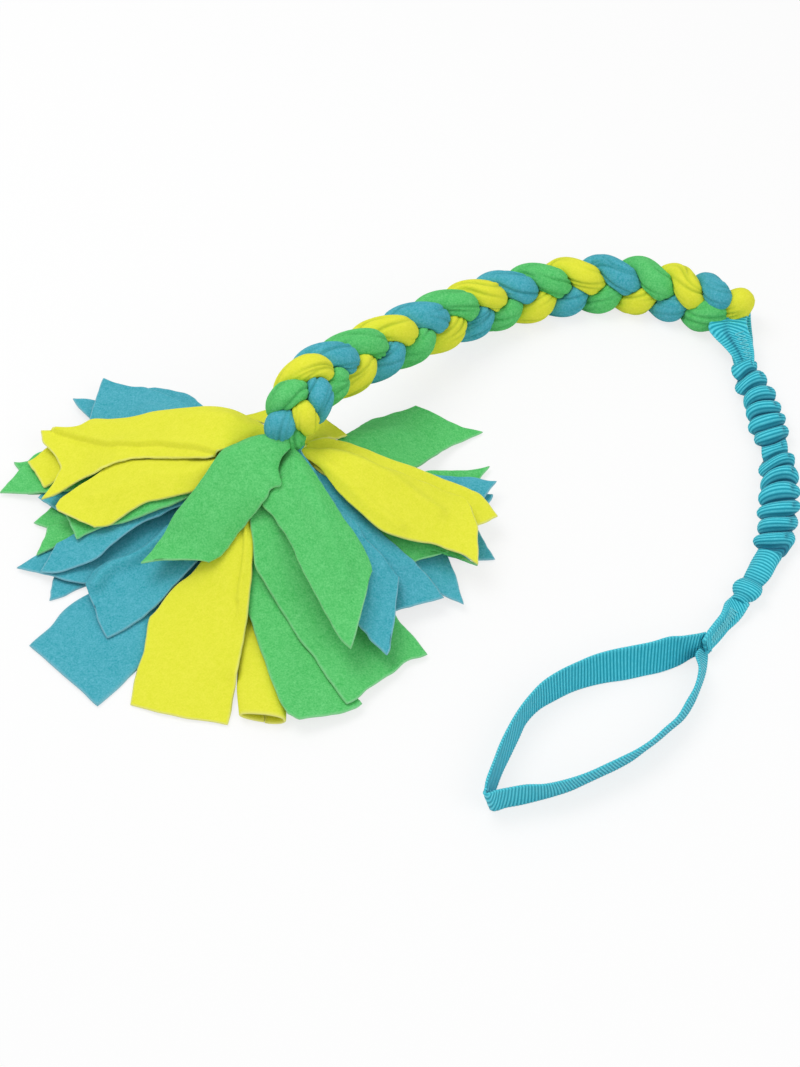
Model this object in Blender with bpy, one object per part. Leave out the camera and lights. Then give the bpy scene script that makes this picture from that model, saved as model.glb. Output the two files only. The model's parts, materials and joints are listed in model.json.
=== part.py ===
"""A tug toy: a fleece mop tassel, a three-strand fleece plait and a gathered bungee sleeve with a hand loop.

It lies on a table as it was laid down for its photograph. The origin is on the table, under the middle of the
tassel. +X runs towards the bungee, +Y away from the viewer and +Z up. Lengths are in metres.
"""
import math

import bmesh
import bpy
from mathutils import Vector

MM = 0.001

# Cloth
FLEECE_THICK = 1.8 * MM
FLEECE_GAP = 0.7 * MM
TOUCH = 0.3 * MM

# Heart of the tassel: the bunched middle that the strips grow from
HEART_BASE_R = 30 * MM
HEART_WAIST_R = 9 * MM
HEART_WAIST_Z = 38 * MM
HEART_SHOULDER_R = 21 * MM
HEART_SHOULDER_Z = 19 * MM
HEART_SIDES = 24

# Bell that the strips hang over: its height at the heart and the radius where it meets the table
BELL_HEIGHT = 44 * MM
BELL_FOOT_R = 118 * MM
LAYERS = 7
CROWN_CLEARANCE = 0.5 * MM
HEART_TOP_Z = BELL_HEIGHT + LAYERS * (FLEECE_THICK + FLEECE_GAP) + CROWN_CLEARANCE
STRIP_COLUMNS = 4
STRIP_STATIONS = 16

# Out from the heart a strip rises over the others to its shoulder, and drops again towards its tip: distances
# from the heart where its root layer ends and where its shoulder and tip heights hold, and the air between two
ROOT_END_R = 38 * MM
SHOULDER_R = 96 * MM
TIP_START_R = 140 * MM
CROSSING_GAP = 0.9 * MM
CROSSING_MARGIN = 1 * MM

# Plait: its route is measured up from the table, and its first two points stand on top of the heart
NECK_FOOT = 1.5 * MM
NECK_RISE = 6 * MM
PLAIT_ROUTE = [
    (5, 11, 80), (15, 31, 80.5), (31, 57, 65), (54, 87, 50), (80, 114, 39), (106, 138, 29),
    (132, 157, 22), (159, 169, 18), (186, 176, 16.7), (212, 177, 16.7), (238, 172, 16.7), (258, 164, 16.7),
    (273, 158, 16.7), (288, 156, 16.7), (304, 156, 16.7),
]
PLAIT_TURNS = 5 + 1 / 6
PLAIT_HALF_WIDTH = 12 * MM
PLAIT_HALF_DEPTH = 8 * MM
STRAND_R = 4.1 * MM
STRAND_SIDES = 8
STRAND_RINGS = 64
NECK_LENGTH = 22 * MM
NECK_STRAIGHT = 7 * MM
END_LENGTH = 34 * MM
CLOSING_LENGTH = 14 * MM
NECK_SPREAD = 5.6 * MM
END_SPREAD_UP = 8.2 * MM
END_SPREAD_OUT = 6.4 * MM
FACE_TILT_NECK_DEG = 48
FACE_TILT_END_DEG = 22
TIE_HEIGHT = 4 * MM
TIE_THICK = 2.4 * MM
TIE_CLEARANCE = 1.3 * MM
TIE_BEVEL = 0.8 * MM

# Webbing end loop: an eye folded round the lowest strand, with its two plies sewn together in a tail
WEBBING_THICK = 1.6 * MM
PLY_GAP = 0.3 * MM
EYE_WIDTH = 16 * MM
EYE_CLEARANCE = 0.7 * MM
EYE_FAR_LENGTH = 5 * MM
EYE_NEAR_LENGTH = 10 * MM
EYE_TAPER = 18 * MM
EYE_TAIL = 15 * MM
EYE_POST_X = 290 * MM
EYE_ARC_STEPS = 8

# Gathered sleeve over the bungee cord
SLEEVE_ROUTE = [
    (290.5, 106), (293, 98), (296, 88), (299, 77), (301, 63), (303, 50), (304, 40), (304, 32), (305, 19),
    (304, 4), (303, -10), (301, -22), (298, -34), (295, -45), (289, -56), (283, -67), (277, -77),
]
SLEEVE_END = (272, -85)
SLEEVE_HEIGHT = 7.6 * MM
SLEEVE_RINGS = 72
SLEEVE_SIDES = 10
SLEEVE_WALL = 1.3 * MM
SLEEVE_HALF_WIDTH = 9.5 * MM
SLEEVE_HALF_DEPTH = 5.6 * MM
RUFFLE_WIDTH = 2.8 * MM
RUFFLE_DEPTH = 1.5 * MM
UPPER_RUFFLES = (0.04, 0.36, 6)
LOWER_RUFFLES = (0.44, 0.79, 5)
CORD_R = 3.2 * MM
CORD_SIDES = 8
CORD_RINGS = 24
CORD_END_GAP = 0.8 * MM

# Stem: sewn double webbing that turns from lying flat to standing on edge
STEM_LEAD = 4 * MM
STEM_ROUTE = [(264, -98), (257, -108)]
STEM_WIDTH = 17 * MM
STEM_THICK = 3.4 * MM
STEM_STATIONS = 16
STEM_FLAT_SHARE = 0.5

# Hand loop, standing on edge and leaning out, with the rolled seam that joins its ends to the stem
SEAM_PLACE = (251, -117)
SEAM_R = 2.6 * MM
SEAM_SIDES = 16
LOOP_ROUTE = [
    (241, -122), (232, -127), (218, -133), (200, -138), (175, -145), (163, -150), (151, -160), (144, -167),
    (138, -178), (132, -193), (125, -214), (120, -228), (121, -233), (126, -233), (137, -229), (155, -223),
    (170, -217), (185, -208), (203, -198), (216, -189), (225, -179), (235, -167), (243, -152), (248, -137),
]
LOOP_STATIONS = 72
LOOP_HEIGHT = 23 * MM
LOOP_END_HEIGHT = 18 * MM
LOOP_LEAN = 8 * MM
LOOP_LEAN_RUN = 40 * MM

# Bar tacks: a thread sewn to and fro across the webbing
TACK_STITCHES = 12
TACK_THREAD_R = 0.45 * MM
TACK_SIDES = 6
TACK_EDGE = 1.5 * MM

COLOURS = {
    "blue": (0.085, 0.415, 0.577, 1),
    "green": (0.107, 0.584, 0.150, 1),
    "yellow": (0.831, 0.831, 0.061, 1),
    "webbing": (0.013, 0.429, 0.546, 1),
    "thread": (0.02, 0.36, 0.46, 1),
    "cord": (0.75, 0.75, 0.72, 1),
}

# Each strip: number, colour, bearing in degrees, reach, width, slant of its cut end, layer and spread.
# The slant is how much further the anticlockwise edge reaches. The spread is the half angle that the strip
# fills where it opens out of the heart. Strips of one layer lie side by side, and the layers are stacked.
# The last two are how high it rides over the bell at its shoulder and at its tip, or as high as those under it.
STRIPS = [
    (1, "green", 184, 156, 38, 15, 0, 12, 1.6, 0.3),
    (2, "blue", 205, 160, 32, 12, 0, 8, 0.5, 0.3),
    (3, "blue", 345, 126, 40, -21, 0, 12, 1.3, 0.3),
    (4, "green", 12, 122, 40, 14, 0, 12, 2.1, 2.1),
    (5, "blue", 178, 162, 36, -16, 1, 10, 7.2, 2.6),
    (6, "blue", 201, 160, 32, -34, 1, 9, 5, 2),
    (7, "blue", 326, 124, 40, -32, 1, 14, 7.3, 5),
    (8, "blue", 0, 124, 36, 8, 1, 10, 4.5, 4),
    (9, "green", 33, 118, 42, -24, 1, 14, 1.2, 0.7),
    (10, "yellow", 66, 62, 30, 6, 1, 12, 0, 0),
    (11, "yellow", 117, 74, 30, 4, 1, 8, 0, 0),
    (12, "blue", 140, 132, 38, -10, 2, 14, 6.5, 0.4),
    (13, "green", 168, 176, 38, -12, 2, 10, 6.3, 0.8),
    (14, "green", 193, 160, 40, 11, 2, 12, 9.5, 3.8),
    (15, "blue", 226, 191, 54, 2, 2, 13, 1.6, 0.3),
    (16, "yellow", 266, 173, 34, 1, 2, 14, 0.3, 0.3),
    (17, "green", 328, 102, 40, 21, 2, 14, 14, 15),
    (18, "blue", 0, 122, 40, 16, 2, 12, 8.9, 8.4),
    (19, "blue", 152, 148, 36, -30, 3, 10, 11.2, 4),
    (20, "green", 174, 178, 38, 11, 3, 8, 12.7, 3),
    (21, "blue", 198, 160, 30, 15, 3, 9, 13.4, 5.5),
    (22, "green", 278, 172, 50, -6, 3, 14, 2.7, 1.2),
    (23, "blue", 314, 122, 30, 12, 3, 8, 11, 10),
    (24, "yellow", 347, 122, 44, 7, 3, 16, 15.2, 13.6),
    (25, "yellow", 166, 164, 38, 11, 4, 10, 16.3, 6.5),
    (26, "green", 192, 142, 36, 1, 4, 10, 15.9, 11),
    (27, "blue", 220, 150, 38, 14, 4, 11, 6.4, 2.8),
    (28, "yellow", 250, 181, 59, -6, 4, 16, 5.5, 1),
    (29, "green", 290, 160, 54, -18, 4, 14, 7.8, 1.6),
    (30, "yellow", 342, 119, 54, -22, 4, 18, 19.5, 19.7),
    (31, "blue", 149, 150, 42, -16, 5, 18, 19, 9),
    (32, "yellow", 190, 138, 38, -22, 5, 16, 19.5, 15),
    (33, "blue", 302, 121, 40, -48, 5, 16, 18, 15.5),
    (34, "yellow", 173, 160, 56, -12, 6, 18, 23, 11),
    (35, "green", 222, 106, 40, -31, 6, 18, 19.8, 19.8),
    (36, "green", 294, 112, 40, -52, 6, 16, 24, 23.5),
]
LIFTING = (9, 30, 34, 35, 36)


def clear_scene():
    for old in list(bpy.data.objects):
        bpy.data.objects.remove(old, do_unlink=True)


def material(name):
    made = bpy.data.materials.get(name)
    if made is None:
        made = bpy.data.materials.new(name)
        made.use_nodes = True
        shader = made.node_tree.nodes["Principled BSDF"]
        shader.inputs["Base Color"].default_value = COLOURS[name]
        shader.inputs["Roughness"].default_value = 0.95
        shader.inputs["Metallic"].default_value = 0.0
    return made


def add_object(name, vertices, faces, colour, origin=(0, 0, 0)):
    """One closed body from world points, with its origin where the piece turns."""
    origin = Vector(origin)
    mesh = bpy.data.meshes.new(name)
    mesh.from_pydata([Vector(v) - origin for v in vertices], [], faces)
    work = bmesh.new()
    work.from_mesh(mesh)
    bmesh.ops.recalc_face_normals(work, faces=work.faces)
    bmesh.ops.triangulate(work, faces=work.faces)
    work.to_mesh(mesh)
    work.free()
    mesh.materials.append(material(colour))
    made = bpy.data.objects.new(name, mesh)
    made.location = origin
    bpy.context.scene.collection.objects.link(made)
    return made


def ring_faces(rings, sides, offset=0):
    faces = []
    for i in range(rings - 1):
        for j in range(sides):
            a = offset + i * sides + j
            b = offset + i * sides + (j + 1) % sides
            faces.append((a, b, b + sides, a + sides))
    return faces


def loft(name, rings, colour, origin=(0, 0, 0)):
    """A solid skinned over rings of equal count, with flat caps."""
    sides = len(rings[0])
    vertices = [p for ring in rings for p in ring]
    faces = ring_faces(len(rings), sides)
    last = (len(rings) - 1) * sides
    faces.append(tuple(range(sides)))
    faces.append(tuple(range(last, last + sides)))
    return add_object(name, vertices, faces, colour, origin)


def smooth_curve(points, count):
    """Evenly spaced points and tangents on a smooth curve through the given points."""
    ends = [2 * points[0] - points[1]] + list(points) + [2 * points[-1] - points[-2]]
    fine = []
    steps = 24
    for i in range(1, len(ends) - 2):
        p0, p1, p2, p3 = ends[i - 1:i + 3]
        for k in range(steps):
            t = k / steps
            fine.append(0.5 * (2 * p1 + (p2 - p0) * t + (2 * p0 - 5 * p1 + 4 * p2 - p3) * t ** 2
                               + (3 * p1 - p0 - 3 * p2 + p3) * t ** 3))
    fine.append(points[-1].copy())
    arc = [0.0]
    for a, b in zip(fine, fine[1:]):
        arc.append(arc[-1] + (b - a).length)
    out = []
    k = 0
    for i in range(count):
        s = arc[-1] * i / (count - 1)
        while k < len(arc) - 2 and arc[k + 1] < s:
            k += 1
        share = (s - arc[k]) / (arc[k + 1] - arc[k])
        out.append(fine[k].lerp(fine[k + 1], share))
    tangents = [(out[min(i + 1, count - 1)] - out[max(i - 1, 0)]).normalized() for i in range(count)]
    return out, tangents, arc[-1]


def route(points, height=0.0):
    """Design points in millimetres as vectors in metres."""
    return [Vector((p[0] * MM, p[1] * MM, p[2] * MM if len(p) > 2 else height)) for p in points]


def ease(t):
    t = min(1.0, max(0.0, t))
    return t * t * (3 - 2 * t)


def tube(name, centres, tangents, radius, sides, colour):
    rings = []
    for c, t in zip(centres, tangents):
        side = t.cross(Vector((0, 0, 1)))
        side = side.normalized() if side.length > 0.1 else Vector((1, 0, 0))
        up = side.cross(t)
        rings.append([c + side * radius * math.cos(2 * math.pi * j / sides)
                      + up * radius * math.sin(2 * math.pi * j / sides) for j in range(sides)])
    return loft(name, rings, colour)


# Tassel

def bell(radius):
    """Height and steepness of the lowest layer at a distance from the heart."""
    span = BELL_FOOT_R - HEART_WAIST_R
    t = min(1.0, max(0.0, (radius - HEART_WAIST_R) / span))
    height = BELL_HEIGHT * (1 + math.cos(math.pi * t)) / 2
    slope = BELL_HEIGHT * math.pi / (2 * span) * math.sin(math.pi * t)
    return height, math.sqrt(1 + slope ** 2)


def strip_half_width(strip, along):
    return min(strip[4] / 2 * MM, along * math.tan(math.radians(strip[7])))


def strip_reach(strip, f):
    """Distance from the heart to the cut end, at a share f of the half width."""
    return (strip[3] + strip[5] / 2 * f) * MM


def strip_plan(strip, share, f):
    """A strip's point from above: share runs from root to tip, and f from -1 to 1 across."""
    start = HEART_WAIST_R + TOUCH
    along = start + (strip_reach(strip, f) - start) * share
    across = f * strip_half_width(strip, along)
    bearing = math.radians(strip[2])
    return (along * math.cos(bearing) - across * math.sin(bearing),
            along * math.sin(bearing) + across * math.cos(bearing))


def lies_over(strip, x, y):
    bearing = math.radians(strip[2])
    along = x * math.cos(bearing) + y * math.sin(bearing)
    across = y * math.cos(bearing) - x * math.sin(bearing)
    if along < HEART_WAIST_R:
        return False
    half = strip_half_width(strip, along)
    f = min(1.0, max(-1.0, across / half))
    return abs(across) < half + CROSSING_MARGIN and along < strip_reach(strip, f) + CROSSING_MARGIN


def crossing(strip, other, beyond):
    """True if two strips cross further than a distance from the heart."""
    for one, two in ((strip, other), (other, strip)):
        for i in range(41):
            for j in range(9):
                x, y = strip_plan(one, i / 40, j / 4 - 1)
                if math.hypot(x, y) > beyond and lies_over(two, x, y):
                    return True
    return False


def stack(beyond, wanted):
    """How high each strip rides over the bell where the crossings beyond a distance from the heart count.

    wanted picks the strip's own height, and the strips that it crosses lift it further where they have to.
    """
    lifts = {}
    for strip in sorted(STRIPS, key=lambda s: (s[6], s[0])):
        below = [lifts[s[0]] + FLEECE_THICK + CROSSING_GAP for s in STRIPS
                 if s[0] in lifts and s[6] < strip[6] and crossing(strip, s, beyond)]
        lifts[strip[0]] = max([wanted(strip) * MM] + below)
    return lifts


def strip_lift(strip, radius):
    """Height of a strip's underside over the bell."""
    root = strip[6] * (FLEECE_THICK + FLEECE_GAP)
    shoulder = SHOULDER_LIFTS[strip[0]]
    lift = root + (shoulder - root) * ease((radius - ROOT_END_R) / (SHOULDER_R - ROOT_END_R))
    return lift + (TIP_LIFTS[strip[0]] - lift) * ease((radius - SHOULDER_R) / (TIP_START_R - SHOULDER_R))


def strip_point(strip, share, f, on_top):
    x, y = strip_plan(strip, share, f)
    radius = math.hypot(x, y)
    height, steepness = bell(radius)
    lift = strip_lift(strip, radius) + (FLEECE_THICK if on_top else 0.0)
    return Vector((x, y, height + lift * steepness))


def strip_root(number):
    """The top inner edge of a strip, which it lifts about, and the axis that lifts it."""
    strip = next(s for s in STRIPS if s[0] == number)
    bearing = math.radians(strip[2])
    return strip_point(strip, 0, 0, True), Vector((math.sin(bearing), -math.cos(bearing), 0))


def strip_name(number, colour):
    return f"strip_{number:02d}_{colour}"


def add_strip(strip):
    number, colour = strip[:2]
    rings = []
    for i in range(STRIP_STATIONS):
        share = i / (STRIP_STATIONS - 1)
        across = [2 * j / (STRIP_COLUMNS - 1) - 1 for j in range(STRIP_COLUMNS)]
        under = [strip_point(strip, share, f, False) for f in across]
        over = [strip_point(strip, share, f, True) for f in across]
        rings.append(under + over[::-1])
    origin = strip_root(number)[0] if number in LIFTING else (0, 0, 0)
    return loft(strip_name(number, colour), rings, colour, origin)


def turned(name, place, profile, sides, colour, origin=(0, 0, 0)):
    rings = [[place + Vector((r * math.cos(2 * math.pi * j / sides), r * math.sin(2 * math.pi * j / sides), z))
              for j in range(sides)] for r, z in profile]
    return loft(name, rings, colour, origin)


def build_tassel():
    turned("tassel_heart", Vector((0, 0, 0)), [
        (HEART_BASE_R, 0), (HEART_SHOULDER_R, HEART_SHOULDER_Z), (HEART_WAIST_R, HEART_WAIST_Z),
        (HEART_WAIST_R, HEART_TOP_Z),
    ], HEART_SIDES, "green")
    for strip in STRIPS:
        add_strip(strip)


# Plait

def plait_strand(phase):
    """Centre line of one strand: a figure of eight across the plait, held still along its neck and its end."""
    neck = [Vector((0, 0, HEART_TOP_Z + NECK_FOOT)), Vector((0, 0, HEART_TOP_Z + NECK_FOOT + NECK_RISE))]
    centres, tangents, length = smooth_curve(neck + route(PLAIT_ROUTE), STRAND_RINGS * 4)
    braided = length - NECK_LENGTH - END_LENGTH
    out = []
    for i in range(STRAND_RINGS):
        k = round(i * (len(centres) - 1) / (STRAND_RINGS - 1))
        s = length * k / (len(centres) - 1)
        t = tangents[k]
        psi = 2 * math.pi * PLAIT_TURNS * min(1.0, max(0.0, (s - NECK_LENGTH) / braided)) + phase
        opening = ease((s - NECK_STRAIGHT) / (NECK_LENGTH - NECK_STRAIGHT))
        closing = ease((s - (length - END_LENGTH)) / CLOSING_LENGTH)
        wide = NECK_SPREAD + (PLAIT_HALF_WIDTH - NECK_SPREAD) * opening
        deep = NECK_SPREAD + (PLAIT_HALF_DEPTH - NECK_SPREAD) * opening
        wide += (END_SPREAD_UP - PLAIT_HALF_WIDTH) * closing
        deep += (END_SPREAD_OUT - PLAIT_HALF_DEPTH) * closing
        tilt = FACE_TILT_NECK_DEG + (FACE_TILT_END_DEG - FACE_TILT_NECK_DEG) * s / length
        tilt = math.radians(tilt * (1 - closing))
        face = Vector((0, -math.cos(tilt), math.sin(tilt)))
        face = (face - t * face.dot(t)).normalized()
        across = face.cross(t).normalized()
        out.append(centres[k] + across * wide * math.cos(psi) + face * deep * math.sin(2 * psi))
    return out


def build_plait():
    third = 2 * math.pi / 3
    for place, colour in enumerate(("blue", "green", "yellow")):
        centres = plait_strand(-place * third)
        last = len(centres) - 1
        tangents = [(centres[min(i + 1, last)] - centres[max(i - 1, 0)]).normalized() for i in range(last + 1)]
        tube(f"plait_strand_{colour}", centres, tangents, STRAND_R, STRAND_SIDES, colour)


def build_neck_tie():
    """The band that binds the three strands on top of the heart."""
    inner = NECK_SPREAD + STRAND_R + TIE_CLEARANCE
    outer = inner + TIE_THICK
    low = HEART_TOP_Z + TOUCH
    high = low + TIE_HEIGHT
    section = [(inner, low), (outer, low + TIE_BEVEL), (outer, high - TIE_BEVEL), (inner, high)]
    rings = []
    for j in range(HEART_SIDES):
        angle = 2 * math.pi * j / HEART_SIDES
        rings.append([Vector((r * math.cos(angle), r * math.sin(angle), z)) for r, z in section])
    vertices = [p for ring in rings for p in ring]
    faces = ring_faces(HEART_SIDES, 4)
    last = (HEART_SIDES - 1) * 4
    for k in range(4):
        faces.append((last + k, last + (k + 1) % 4, (k + 1) % 4, k))
    add_object("neck_tie", vertices, faces, "green")


# Webbing

def ribbon_frames(centres, widths):
    """Tangents, width directions and normals along a strap."""
    last = len(centres) - 1
    frames = []
    for i, (c, w) in enumerate(zip(centres, widths)):
        t = (centres[min(i + 1, last)] - centres[max(i - 1, 0)]).normalized()
        w = (w - t * w.dot(t)).normalized()
        frames.append((c, w, w.cross(t)))
    return frames


def ribbon(name, frames, width, thick, colour, origin=(0, 0, 0)):
    rings = []
    for c, w, n in frames:
        corners = ((-1, -1), (1, -1), (1, 1), (-1, 1))
        rings.append([c + w * x * width / 2 + n * y * thick / 2 for x, y in corners])
    return loft(name, rings, colour, origin)


def tack(name, frames, width, thick):
    """A thread laid to and fro over the upper face of a strap."""
    raised = thick / 2 + TOUCH + TACK_THREAD_R
    reach = width / 2 - TACK_EDGE
    centres = []
    for k in range(TACK_STITCHES):
        place = k * (len(frames) - 1) / (TACK_STITCHES - 1)
        i = min(int(place), len(frames) - 2)
        c, w, n = (a.lerp(b, place - i) for a, b in zip(frames[i], frames[i + 1]))
        centres.append(c + n * raised + w * reach * (1 if k % 2 else -1))
    last = TACK_STITCHES - 1
    tangents = [(centres[min(i + 1, last)] - centres[max(i - 1, 0)]).normalized() for i in range(last + 1)]
    tube(name, centres, tangents, TACK_THREAD_R, TACK_SIDES, "thread")


def build_end_loop():
    post_y = PLAIT_ROUTE[-1][1] * MM
    post_z = PLAIT_ROUTE[-1][2] * MM - END_SPREAD_UP
    reach = STRAND_R + EYE_CLEARANCE + WEBBING_THICK / 2
    ply = (WEBBING_THICK + PLY_GAP) / 2
    near = post_y - EYE_NEAR_LENGTH
    joined = near - EYE_TAPER
    upper = [(joined - EYE_TAIL, SLEEVE_HEIGHT + ply)]
    upper += [(joined - EYE_TAIL * k / 3, SLEEVE_HEIGHT + ply) for k in (2, 1, 0)]
    for k in range(1, EYE_ARC_STEPS + 1):
        share = k / EYE_ARC_STEPS
        blend = ease(share)
        height = (SLEEVE_HEIGHT + ply) * (1 - blend) + (post_z + reach) * blend
        upper.append((joined + EYE_TAPER * share, height))
    arc = []
    for k in range(EYE_ARC_STEPS + 1):
        angle = math.pi / 2 - math.pi * k / EYE_ARC_STEPS
        arc.append((post_y + EYE_FAR_LENGTH + reach * math.cos(angle), post_z + reach * math.sin(angle)))
    lower = []
    for y, z in reversed(upper):
        middle = SLEEVE_HEIGHT + (post_z - SLEEVE_HEIGHT) * ease((y - joined) / EYE_TAPER)
        lower.append((y, 2 * middle - z))
    centres = [Vector((EYE_POST_X, y, z)) for y, z in upper + arc + lower]
    frames = ribbon_frames(centres, [Vector((-1, 0, 0))] * len(centres))
    ribbon("webbing_end_loop", frames, EYE_WIDTH, WEBBING_THICK, "webbing", (EYE_POST_X, post_y, 0))
    row = []
    for k in range(TACK_STITCHES):
        y = joined - EYE_TAIL + TACK_EDGE + (EYE_TAIL - 2 * TACK_EDGE) * k / (TACK_STITCHES - 1)
        row.append((Vector((EYE_POST_X, y, SLEEVE_HEIGHT)), Vector((1, 0, 0)), Vector((0, 0, 1))))
    tack("end_loop_tack", row, EYE_WIDTH, 2 * WEBBING_THICK + PLY_GAP)
    return Vector((EYE_POST_X, joined - EYE_TAIL - TOUCH, SLEEVE_HEIGHT))


def ruffle(share):
    """How far the sleeve is gathered out at a share of its length, from 0 to 1."""
    for start, end, count in (UPPER_RUFFLES, LOWER_RUFFLES):
        if start < share < end:
            return (1 - math.cos(2 * math.pi * count * (share - start) / (end - start))) / 2
    return 0.0


def build_sleeve(mouth):
    points = [mouth] + route(SLEEVE_ROUTE + [SLEEVE_END], SLEEVE_HEIGHT)
    centres, tangents, length = smooth_curve(points, SLEEVE_RINGS)
    outer = []
    bore = []
    for i, (c, t) in enumerate(zip(centres, tangents)):
        swell = ruffle(i / (SLEEVE_RINGS - 1))
        wide = SLEEVE_HALF_WIDTH + RUFFLE_WIDTH * swell
        deep = SLEEVE_HALF_DEPTH + RUFFLE_DEPTH * swell
        side = t.cross(Vector((0, 0, 1))).normalized()
        up = Vector((0, 0, 1))
        bore_wide = SLEEVE_HALF_WIDTH - SLEEVE_WALL
        bore_deep = SLEEVE_HALF_DEPTH - SLEEVE_WALL
        for ring, x, z in ((outer, wide, deep), (bore, bore_wide, bore_deep)):
            ring.append([c + side * x * math.cos(2 * math.pi * j / SLEEVE_SIDES)
                         + up * z * math.sin(2 * math.pi * j / SLEEVE_SIDES) for j in range(SLEEVE_SIDES)])
    vertices = [p for ring in outer + bore for p in ring]
    shift = SLEEVE_RINGS * SLEEVE_SIDES
    faces = ring_faces(SLEEVE_RINGS, SLEEVE_SIDES)
    faces += ring_faces(SLEEVE_RINGS, SLEEVE_SIDES, shift)
    for first in (0, (SLEEVE_RINGS - 1) * SLEEVE_SIDES):
        for j in range(SLEEVE_SIDES):
            a = first + j
            b = first + (j + 1) % SLEEVE_SIDES
            faces.append((a, b, b + shift, a + shift))
    add_object("gathered_sleeve", vertices, faces, "webbing")
    inset = [points[0] + (points[1] - points[0]).normalized() * CORD_END_GAP] + points[1:-1]
    inset.append(points[-1] + (points[-2] - points[-1]).normalized() * CORD_END_GAP)
    centres, tangents, length = smooth_curve(inset, CORD_RINGS)
    tube("bungee_cord", centres, tangents, CORD_R, CORD_SIDES, "cord")
    return points[-1], tangents[-1]


def build_stem(mouth, direction):
    seam = Vector((SEAM_PLACE[0] * MM, SEAM_PLACE[1] * MM, LOOP_END_HEIGHT / 2 + TOUCH))
    inner = route(STEM_ROUTE, SLEEVE_HEIGHT)
    inner[-1].z = seam.z
    away = (inner[-1] - seam).normalized()
    lead = [mouth + direction * TOUCH, mouth + direction * STEM_LEAD]
    points = lead + inner + [seam + away * (SEAM_R + TOUCH)]
    centres, tangents, length = smooth_curve(points, STEM_STATIONS)
    widths = []
    for i, t in enumerate(tangents):
        turn = math.pi / 2 * ease((i / (STEM_STATIONS - 1) - STEM_FLAT_SHARE) / (1 - STEM_FLAT_SHARE))
        flat = t.cross(Vector((0, 0, 1))).normalized()
        widths.append(flat * math.cos(turn) + Vector((0, 0, 1)) * math.sin(turn))
    frames = ribbon_frames(centres, widths)
    ribbon("stem", frames, STEM_WIDTH, STEM_THICK, "webbing", (seam.x, seam.y, 0))
    flat_count = round(STEM_STATIONS * STEM_FLAT_SHARE)
    facing_up = [(c, w, -n) if n.z < 0 else (c, w, n) for c, w, n in frames[1:flat_count]]
    tack("stem_tack", facing_up, STEM_WIDTH, STEM_THICK)


def build_hand_loop():
    seam = Vector((SEAM_PLACE[0] * MM, SEAM_PLACE[1] * MM, 0))
    inner = route(LOOP_ROUTE)
    ends = [seam + (p - seam).normalized() * (SEAM_R + TOUCH) for p in (inner[0], inner[-1])]
    centres, tangents, length = smooth_curve([ends[0]] + inner + [ends[1]], LOOP_STATIONS)
    rings = []
    for i, (c, t) in enumerate(zip(centres, tangents)):
        s = length * i / (LOOP_STATIONS - 1)
        out = Vector((t.y, -t.x, 0)).normalized()
        open_share = ease(min(s, length - s) / LOOP_LEAN_RUN)
        top = Vector((0, 0, LOOP_END_HEIGHT + (LOOP_HEIGHT - LOOP_END_HEIGHT) * open_share))
        top += out * LOOP_LEAN * open_share
        half = out * WEBBING_THICK / 2
        rings.append([c - half, c + half, c + top + half, c + top - half])
    loft("hand_loop", rings, "webbing", (seam.x, seam.y, 0))
    roll = [(SEAM_R, TOUCH), (SEAM_R, LOOP_END_HEIGHT)]
    turned("loop_seam", seam, roll, SEAM_SIDES, "thread", seam)


def build_bungee():
    mouth = build_end_loop()
    end, direction = build_sleeve(mouth)
    build_stem(end, direction)
    build_hand_loop()


clear_scene()
SHOULDER_LIFTS = stack(ROOT_END_R, lambda strip: strip[8])
TIP_LIFTS = stack(SHOULDER_R, lambda strip: strip[9])
build_tassel()
build_plait()
build_neck_tie()
build_bungee()
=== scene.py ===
"""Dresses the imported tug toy: fleece strips, plait and webbing, with their materials, light and camera.

It lies on a table as it was laid down for its photograph. Lengths are in metres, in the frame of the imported
model: the origin is on the table under the middle of the tassel, +X runs towards the bungee and +Z is up.
"""
import json
import math

import bpy
import numpy as np
from bpy.props import FloatProperty, FloatVectorProperty, PointerProperty
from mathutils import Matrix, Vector

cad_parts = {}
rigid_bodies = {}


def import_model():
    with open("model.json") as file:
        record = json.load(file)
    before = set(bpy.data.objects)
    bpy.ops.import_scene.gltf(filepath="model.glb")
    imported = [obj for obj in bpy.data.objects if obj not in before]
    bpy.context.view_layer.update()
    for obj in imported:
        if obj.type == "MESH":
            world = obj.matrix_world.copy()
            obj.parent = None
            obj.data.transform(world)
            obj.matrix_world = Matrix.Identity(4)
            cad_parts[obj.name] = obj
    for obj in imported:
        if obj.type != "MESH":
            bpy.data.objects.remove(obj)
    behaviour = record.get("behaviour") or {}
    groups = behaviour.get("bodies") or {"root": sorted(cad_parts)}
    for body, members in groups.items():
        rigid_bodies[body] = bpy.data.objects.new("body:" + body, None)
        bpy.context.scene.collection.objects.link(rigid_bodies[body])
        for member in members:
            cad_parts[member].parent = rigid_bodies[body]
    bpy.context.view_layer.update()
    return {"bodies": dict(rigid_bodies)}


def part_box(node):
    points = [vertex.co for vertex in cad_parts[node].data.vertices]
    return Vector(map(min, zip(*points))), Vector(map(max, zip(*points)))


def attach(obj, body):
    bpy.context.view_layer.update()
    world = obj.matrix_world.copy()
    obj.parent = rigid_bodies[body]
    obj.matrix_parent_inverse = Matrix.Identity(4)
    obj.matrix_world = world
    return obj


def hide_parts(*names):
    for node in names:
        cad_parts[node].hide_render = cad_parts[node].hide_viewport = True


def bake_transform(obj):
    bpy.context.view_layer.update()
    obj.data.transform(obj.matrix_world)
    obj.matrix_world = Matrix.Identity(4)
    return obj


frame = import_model()

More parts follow.
